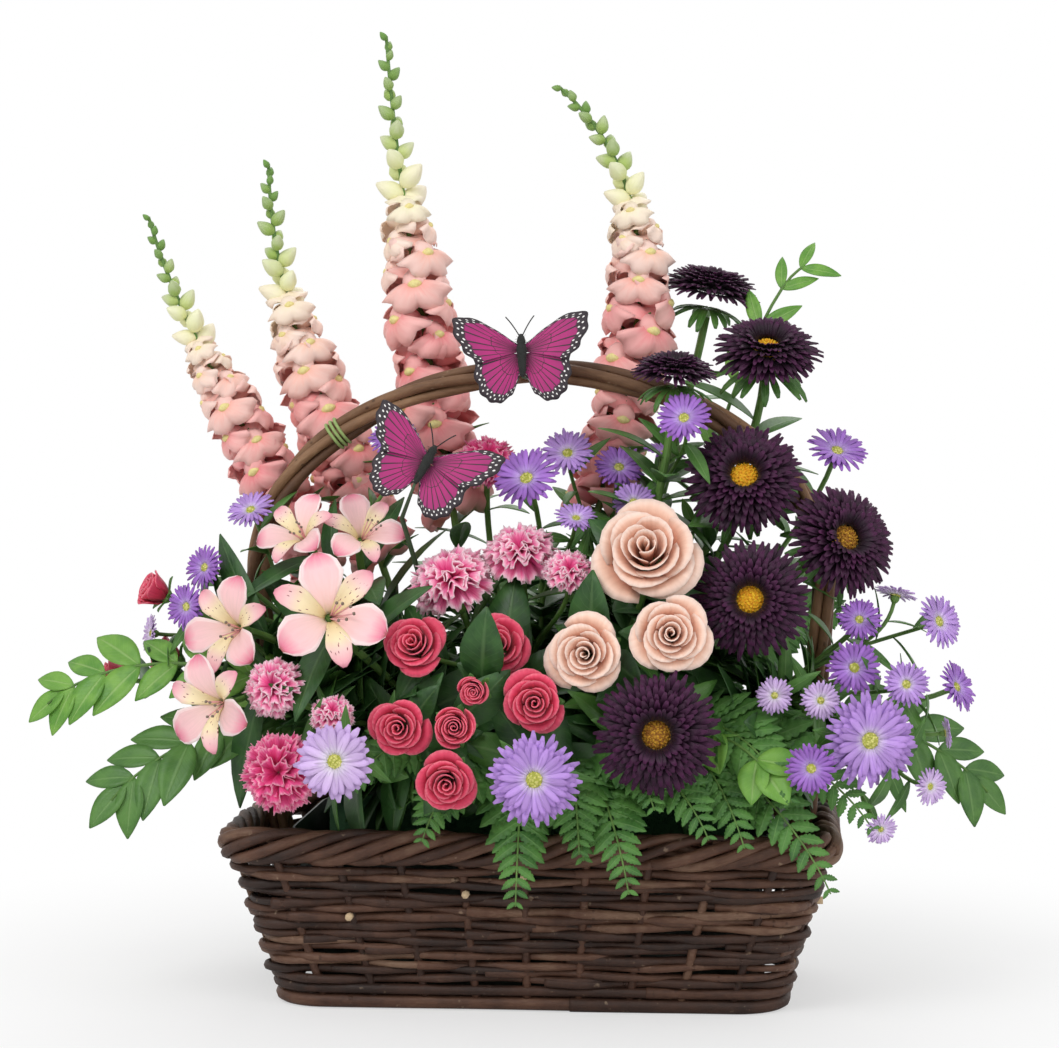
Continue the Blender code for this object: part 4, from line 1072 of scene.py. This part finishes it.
def arch(share):
    """The handle's centreline: two straight runs up each leg, then half an ellipse over the top."""
    side = np.where(share < 0.5, -1.0, 1.0)
    along = 1 - np.abs(2 * share - 1)
    t = along / LEG_SHARE * LEG_PARTS
    x = np.interp(t, (0, 1, LEG_PARTS), (LEG_FOOT_X, LEG_AT_RIM, ARCH_HALF_SPAN))
    z = np.interp(t, (0, 1, LEG_PARTS), (LEG_FOOT_Z, LEG_RIM_Z, ARCH_SPRING))
    angle = np.clip((along - LEG_SHARE) / (1 - LEG_SHARE), 0, 1) * math.pi / 2
    over = along > LEG_SHARE
    x = np.where(over, ARCH_HALF_SPAN * np.cos(angle), x)
    z = np.where(over, ARCH_SPRING + (ARCH_TOP - ARCH_SPRING) * np.sin(angle), z)
    return np.stack((side * x, 0 * x, z), -1)


def tie(piece, across):
    """Three turns of green raffia round the handle's left shoulder."""
    for turn in range(3):
        at = arch(np.array((0.335 + 0.004 * turn, 0.340 + 0.004 * turn)))
        sideways = np.cross(unit(at[1] - at[0]), across)
        angle = np.linspace(0, TAU * 0.98, 24)[:, None]
        loop = at[0] + (across * np.cos(angle) + sideways * np.sin(angle)) * 0.0079
        piece.tubes(loop, 0.0009, 6, "raffia", 0.5)


def handle(rng):
    """Four rods that wind round the arch; the first carries the tie."""
    count = 220
    share = np.linspace(0, 1, count)
    line = arch(share)
    along = unit(np.gradient(line, axis=0))
    across = np.array((0.0, 1.0, 0.0))
    up = np.cross(along, across)
    for rod in range(4):
        piece = Piece(f"handle_rod_{rod + 1}_bark")
        angle = TAU * (HANDLE_TURNS * share + rod / 4)
        wander = 0.0042 + 0.0003 * np.sin(share * 40 + rod)
        path = line + (across * np.cos(angle)[:, None] + up * np.sin(angle)[:, None]) * wander[:, None]
        thick = 0.0030 * (1 + 0.06 * np.sin(share * 75 + rod * 2)) * rng.uniform(0.93, 1.05)
        piece.tubes(path, thick, 12, "willow_handle", 0.2 + 0.2 * rod)
        if rod == 0:
            tie(piece, across)
        piece.finish("willow_handle", f"handle_rod_{rod + 1}")


# ---- butterflies ----

WING_OUTLINE = (
    (0.0005, 0.006), (0.010, 0.013), (0.022, 0.021), (0.034, 0.024), (0.038, 0.020), (0.035, 0.010),
    (0.030, 0.002), (0.024, -0.003), (0.026, -0.012), (0.022, -0.022), (0.014, -0.026), (0.006, -0.021),
    (0.0005, -0.008),
)


def butterfly(key, facing, roll, rng):
    """Fore and hind wings as sheets from the root to the outline, which bow up near the body and droop
    with the square of their reach, a fuzzy body, two feelers, and the wire or pick that holds it."""
    piece = Piece(f"butterfly_{key}_painted")
    low, high = (np.array(v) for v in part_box(f"butterfly_{key}_wings"))
    z = unit(np.array(facing))
    x = unit(np.cross(UP, z))
    y = np.cross(z, x)
    c, s = math.cos(math.radians(roll)), math.sin(math.radians(roll))
    axes = np.array((x * c + y * s, y * c - x * s, z))
    corners = np.array([(sign * px, py, 0) for px, py in WING_OUTLINE for sign in (1, -1)]) @ axes
    middle = (low + high) / 2 - (corners.min(axis=0) + corners.max(axis=0)) / 2
    points = np.array(WING_OUTLINE)
    for first, last, root, lift in ((0, 7, (0.001, 0.003), 0.16), (7, 12, (0.001, 0.002), 0.08)):
        part = points[first:last + 1].copy()
        if first:
            part[0] = (0.0265, 0.0025)
        knots = np.linspace(0, len(part) - 1, 44)
        edge = np.stack([np.interp(knots, np.arange(len(part)), part[:, i]) for i in (0, 1)], -1)
        edge[1:-1] = (edge[:-2] + 2 * edge[1:-1] + edge[2:]) / 4
        scallop = 1 + 0.025 * np.cos(np.linspace(0, TAU * 6, 44))
        for sign in (1, -1):
            share = np.linspace(0.02, 1, 14)[:, None, None]
            flat = np.array(root) + (edge * scallop[:, None] - root)[None] * share
            bow = lift * flat[..., 0] - 1.6 * flat[..., 0] ** 2
            grid = np.stack((sign * flat[..., 0], flat[..., 1], bow), -1)
            grid = grid if sign < 0 else grid[:, ::-1]
            piece.sheets(place(grid, middle, axes)[None], 0.0006, "wing", rng.random())
    rise = 0.0036
    along = np.linspace(-0.012, 0.012, 14)
    body = np.stack((0 * along, along, 0 * along + rise), -1)
    swell = np.interp(along, (-0.012, -0.009, -0.001, 0.004, 0.006, 0.009, 0.012),
                      (0.3, 0.65, 0.8, 1, 0.7, 0.85, 0.3))
    thick = 0.0030 * swell
    piece.tubes(place(body, middle, axes), thick, 12, "fuzz")
    hair = rng.normal(size=(160, 3))
    hair = unit(hair * (1, 0.5, 1))
    foot = np.stack((0 * hair[:, 0], rng.uniform(-0.010, 0.010, 160), 0 * hair[:, 0] + rise), -1)
    path = foot[:, None] + hair[:, None] * np.linspace(0.0010, 0.0038, 3)[None, :, None]
    piece.tubes(place(path, middle, axes), np.array((0.00016, 0.00012, 0.00004)), 4, "fuzz")
    t = np.linspace(0, 1, 9)[None, :, None]
    sign = np.array((1, -1.0))[:, None, None]
    spread = sign * (0.0008 + 0.007 * t)
    ahead = 0.011 + 0.013 * t - 0.003 * t * t
    feelers = np.concatenate((spread, ahead + 0 * spread, rise + 0.004 * t + 0 * spread), -1)
    piece.tubes(place(feelers, middle, axes), 0.00035, 5, "fuzz")
    tail = place(body[:1], middle, axes)[0]
    if key == "upper":
        t = np.linspace(0, 1, 40)
        angle = TAU * 1.25 * t
        at = arch(np.array((0.5 + tail[0] * 0.9,)))[0]
        coil = at + np.stack((0.0027 * t, -np.cos(angle) * 0.0083, np.sin(angle) * 0.0083), -1)
        between = coil[0] * 0.5 + tail * 0.5 + (0, -0.001, -0.002)
        wire = np.concatenate((coil[::-1], between[None], tail[None]))
        piece.tubes(wire, 0.0007, 6, "wire")
    else:
        low = triangles("butterfly_lower_body")[0].reshape(-1, 3)
        base = low[low[:, 2] < low[:, 2].min() + 0.0005].mean(axis=0)
        pick = np.array((base, base + UP * SOCKET_DEPTH, (-0.070, -0.050, 0.262), tail))
        piece.tubes(pick, np.array((0.0015, 0.0015, 0.0014, 0.0008)), 8, "wire")
    piece.finish("butterfly_wing", f"butterfly_{key}_wings", f"butterfly_{key}_body")


# ---- all the plants ----

# For each start of a node's name: its solid's kind, its slot, and its leaves' finish, length, number in 12 cm
# of stem and width as a share of length
FLOWERS = {
    "china_aster": ("china_aster", "aster_dark", "leaf_mid", 0.042, 14, 0.16),
    "large_daisy": ("daisy", "aster_lavender", "leaf_mid", 0.030, 10, 0.12),
    "aster_s": ("daisy", "aster_lavender", "leaf_mid", 0.030, 10, 0.12),
    "rose_coral": ("rose", "rose_coral", "leaf_dark", 0.040, 9, 0.27),
    "rose_peach": ("rose", "rose_peach", "leaf_dark", 0.040, 9, 0.27),
    "carnation": ("carnation", "carnation_pink", "leaf_mid", 0.045, 7, 0.07),
    "alstroemeria": ("alstroemeria", "alstroemeria_pink", "leaf_dark", 0.058, 10, 0.14),
}
BUD_SIZE = 0.0125  # a rose smaller than this is still closed
PALE_SIZE = 0.0115  # a small aster smaller than this is a pale one


def flower_head(piece, name, head, index, rng):
    """The head that suits a node's name, its number and the head's size."""
    if name.startswith("china_aster"):
        aster_dark_head(piece, head, rng, "middle_gold" if name[-1] in "246" else "middle_ochre")
    elif name == "large_daisy_1":
        daisy_head(piece, head, rng, "aster_pale", 22, 2, 0.10)
    elif name.startswith("large_daisy"):
        daisy_head(piece, head, rng, "aster_light", 30, 3, 0.07)
    elif name.startswith("aster"):
        tone = "aster_pale" if head[2] < PALE_SIZE else ("aster_violet", "aster_light")[index % 2]
        daisy_head(piece, head, rng, tone, 22, 2, 0.075)
    elif name.startswith("rose"):
        finish = "rose_peach" if "peach" in name else "rose_coral"
        rose_head(piece, head, rng, finish, 0.3 if head[2] < BUD_SIZE else 1.0)
    elif name.startswith("carnation"):
        carnation_head(piece, head, rng, "carnation_deep" if name[-1] in "45" else "carnation")
    else:
        lily_head(piece, head, rng)


def flowers():
    """Every snapdragon and every stem or spray that has round heads, each with its own random numbers."""
    for number, name in enumerate(sorted(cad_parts)):
        rng = np.random.default_rng(100 + number)
        start = next((start for start in FLOWERS if name.startswith(start)), None)
        if name.startswith("snapdragon"):
            snapdragon(name, rng)
        if start is None:
            continue
        kind, slot, leaf_finish, leaf_length, density, leaf_width = FLOWERS[start]
        piece = Piece(name)
        heads, routes = plant(name, kind)
        radius = HEADS[kind][2]
        for index, (head, route) in enumerate(zip(heads, routes)):
            main = index == 0
            stem(piece, route, radius if main else radius * BRANCH, main)
            flower_head(piece, name, head, index, rng)
            if main:
                stem_leaves(piece, route, rng, 20, 0.046, "leaf_dark", 0.02, 0.52, 0.22, 0.35)
                stem_leaves(piece, route, rng, 8, 0.044, "leaf_mid", 0.04, 0.5, 0.20, 0.4)
            length = np.linalg.norm(route[3] - route[0])
            many = max(3, int(density * length / 0.12))
            stem_leaves(piece, route, rng, many, leaf_length, leaf_finish, 0.05, 0.86, leaf_width)
        piece.finish(slot, name)


def greenery():
    """The ferns, and the leafy twigs at the sides and the top."""
    rng = np.random.default_rng(7)
    for name in sorted(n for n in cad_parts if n.startswith("fern")):
        fern(name, rng, 0.040 if "back" in name else 0.030)
    sprig("ruscus_left", rng)
    sprig("ruscus_left_low", rng, 0.038, "leaf_mid")
    sprig("ruscus_right", rng, 0.036, "leaf_mid")
    sprig("ruscus_top", rng, 0.026, "leaf_bright", 6, 0.17)
    sprig("leaf_sprig_right", rng, 0.034, "leaf_bright", 3, 0.33)


# Each lamp's name, place, size and power
LAMPS = (
    ("key", (-0.9, -1.5, 1.7), 1.2, 20.0),
    ("fill", (1.4, -1.2, 1.0), 1.4, 9.0),
    ("back", (0.2, 1.5, 1.6), 1.4, 12.0),
)


def studio():
    """Camera at the arrangement's front, plain light all round, and a white floor that keeps the shadow."""
    camera = bpy.data.objects.new("camera", bpy.data.cameras.new("camera"))
    camera.data.lens = 98.07
    camera.data.sensor_width = 36.0
    camera.location = (0.1343, -1.5944, 0.33)
    camera.rotation_euler = (math.radians(90 - 2.62), 0, math.radians(5))
    bpy.context.scene.collection.objects.link(camera)
    bpy.context.scene.camera = camera
    for name, place_at, size, power in LAMPS:
        lamp = bpy.data.objects.new(name, bpy.data.lights.new(name, "AREA"))
        lamp.data.size = size
        lamp.data.energy = power
        lamp.location = place_at
        lamp.rotation_euler = (Vector((0, 0, 0.22)) - Vector(place_at)).to_track_quat("-Z", "Y").to_euler()
        bpy.context.scene.collection.objects.link(lamp)
    world = bpy.data.worlds.new("world")
    world.use_nodes = True
    tree = world.node_tree
    light = tree.nodes["Background"]
    seen = node(tree, "ShaderNodeLightPath", output=0)
    gloss = node(tree, "ShaderNodeLightPath", output=3)
    passed = node(tree, "ShaderNodeLightPath", output=6)
    bright = seen.math("MAXIMUM", gloss).math("MAXIMUM", passed)
    tree.links.new((bright * 0.45 + 0.55).socket, light.inputs["Strength"])
    light.inputs["Color"].default_value = (1, 1, 1, 1)
    bpy.context.scene.world = world
    mesh = bpy.data.meshes.new("floor")
    reach = 6.0
    corners = [(-reach, -reach, 0), (reach, -reach, 0), (reach, reach, 0), (-reach, reach, 0)]
    mesh.from_pydata(corners, [], [(0, 1, 2, 3)])
    floor = bpy.data.objects.new("floor", mesh)
    bpy.context.scene.collection.objects.link(floor)
    f = Finish("floor_white", roughness=0.9, specular_ior_level=0.0)
    f.shader.inputs["Base Color"].default_value = (0.93, 0.93, 0.93, 1)
    glow = f.tree.nodes.new("ShaderNodeEmission")
    mixed = f.tree.nodes.new("ShaderNodeMixShader")
    apart = node(f.tree, "ShaderNodeVectorMath", (f.place,), output=1, operation="LENGTH")
    seen = node(f.tree, "ShaderNodeLightPath", output=0)
    f.tree.links.new(((apart.step(0.20, 0.50) * 0.5 + 0.5) * seen).socket, mixed.inputs[0])
    f.tree.links.new(f.shader.outputs[0], mixed.inputs[1])
    f.tree.links.new(glow.outputs[0], mixed.inputs[2])
    f.tree.links.new(mixed.outputs[0], f.tree.nodes["Material Output"].inputs["Surface"])
    mesh.materials.append(f.material)
    bpy.context.scene.view_settings.view_transform = "Standard"


def main():
    """The basket, what stands in it, the butterflies and the studio."""
    weave(np.random.default_rng(1))
    rim(np.random.default_rng(2))
    foot(np.random.default_rng(3))
    base_rods(np.random.default_rng(4))
    handle(np.random.default_rng(5))
    for name, finish in (("liner_tray", "liner"), ("floral_foam", "foam")):
        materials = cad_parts[name].data.materials
        materials.clear()
        materials.append(finish_named(finish))
    flowers()
    greenery()
    butterfly("upper", (0.05, -0.97, 0.22), 3.0, np.random.default_rng(8))
    butterfly("lower", (0.10, -0.93, 0.35), -27.0, np.random.default_rng(9))
    studio()


main()
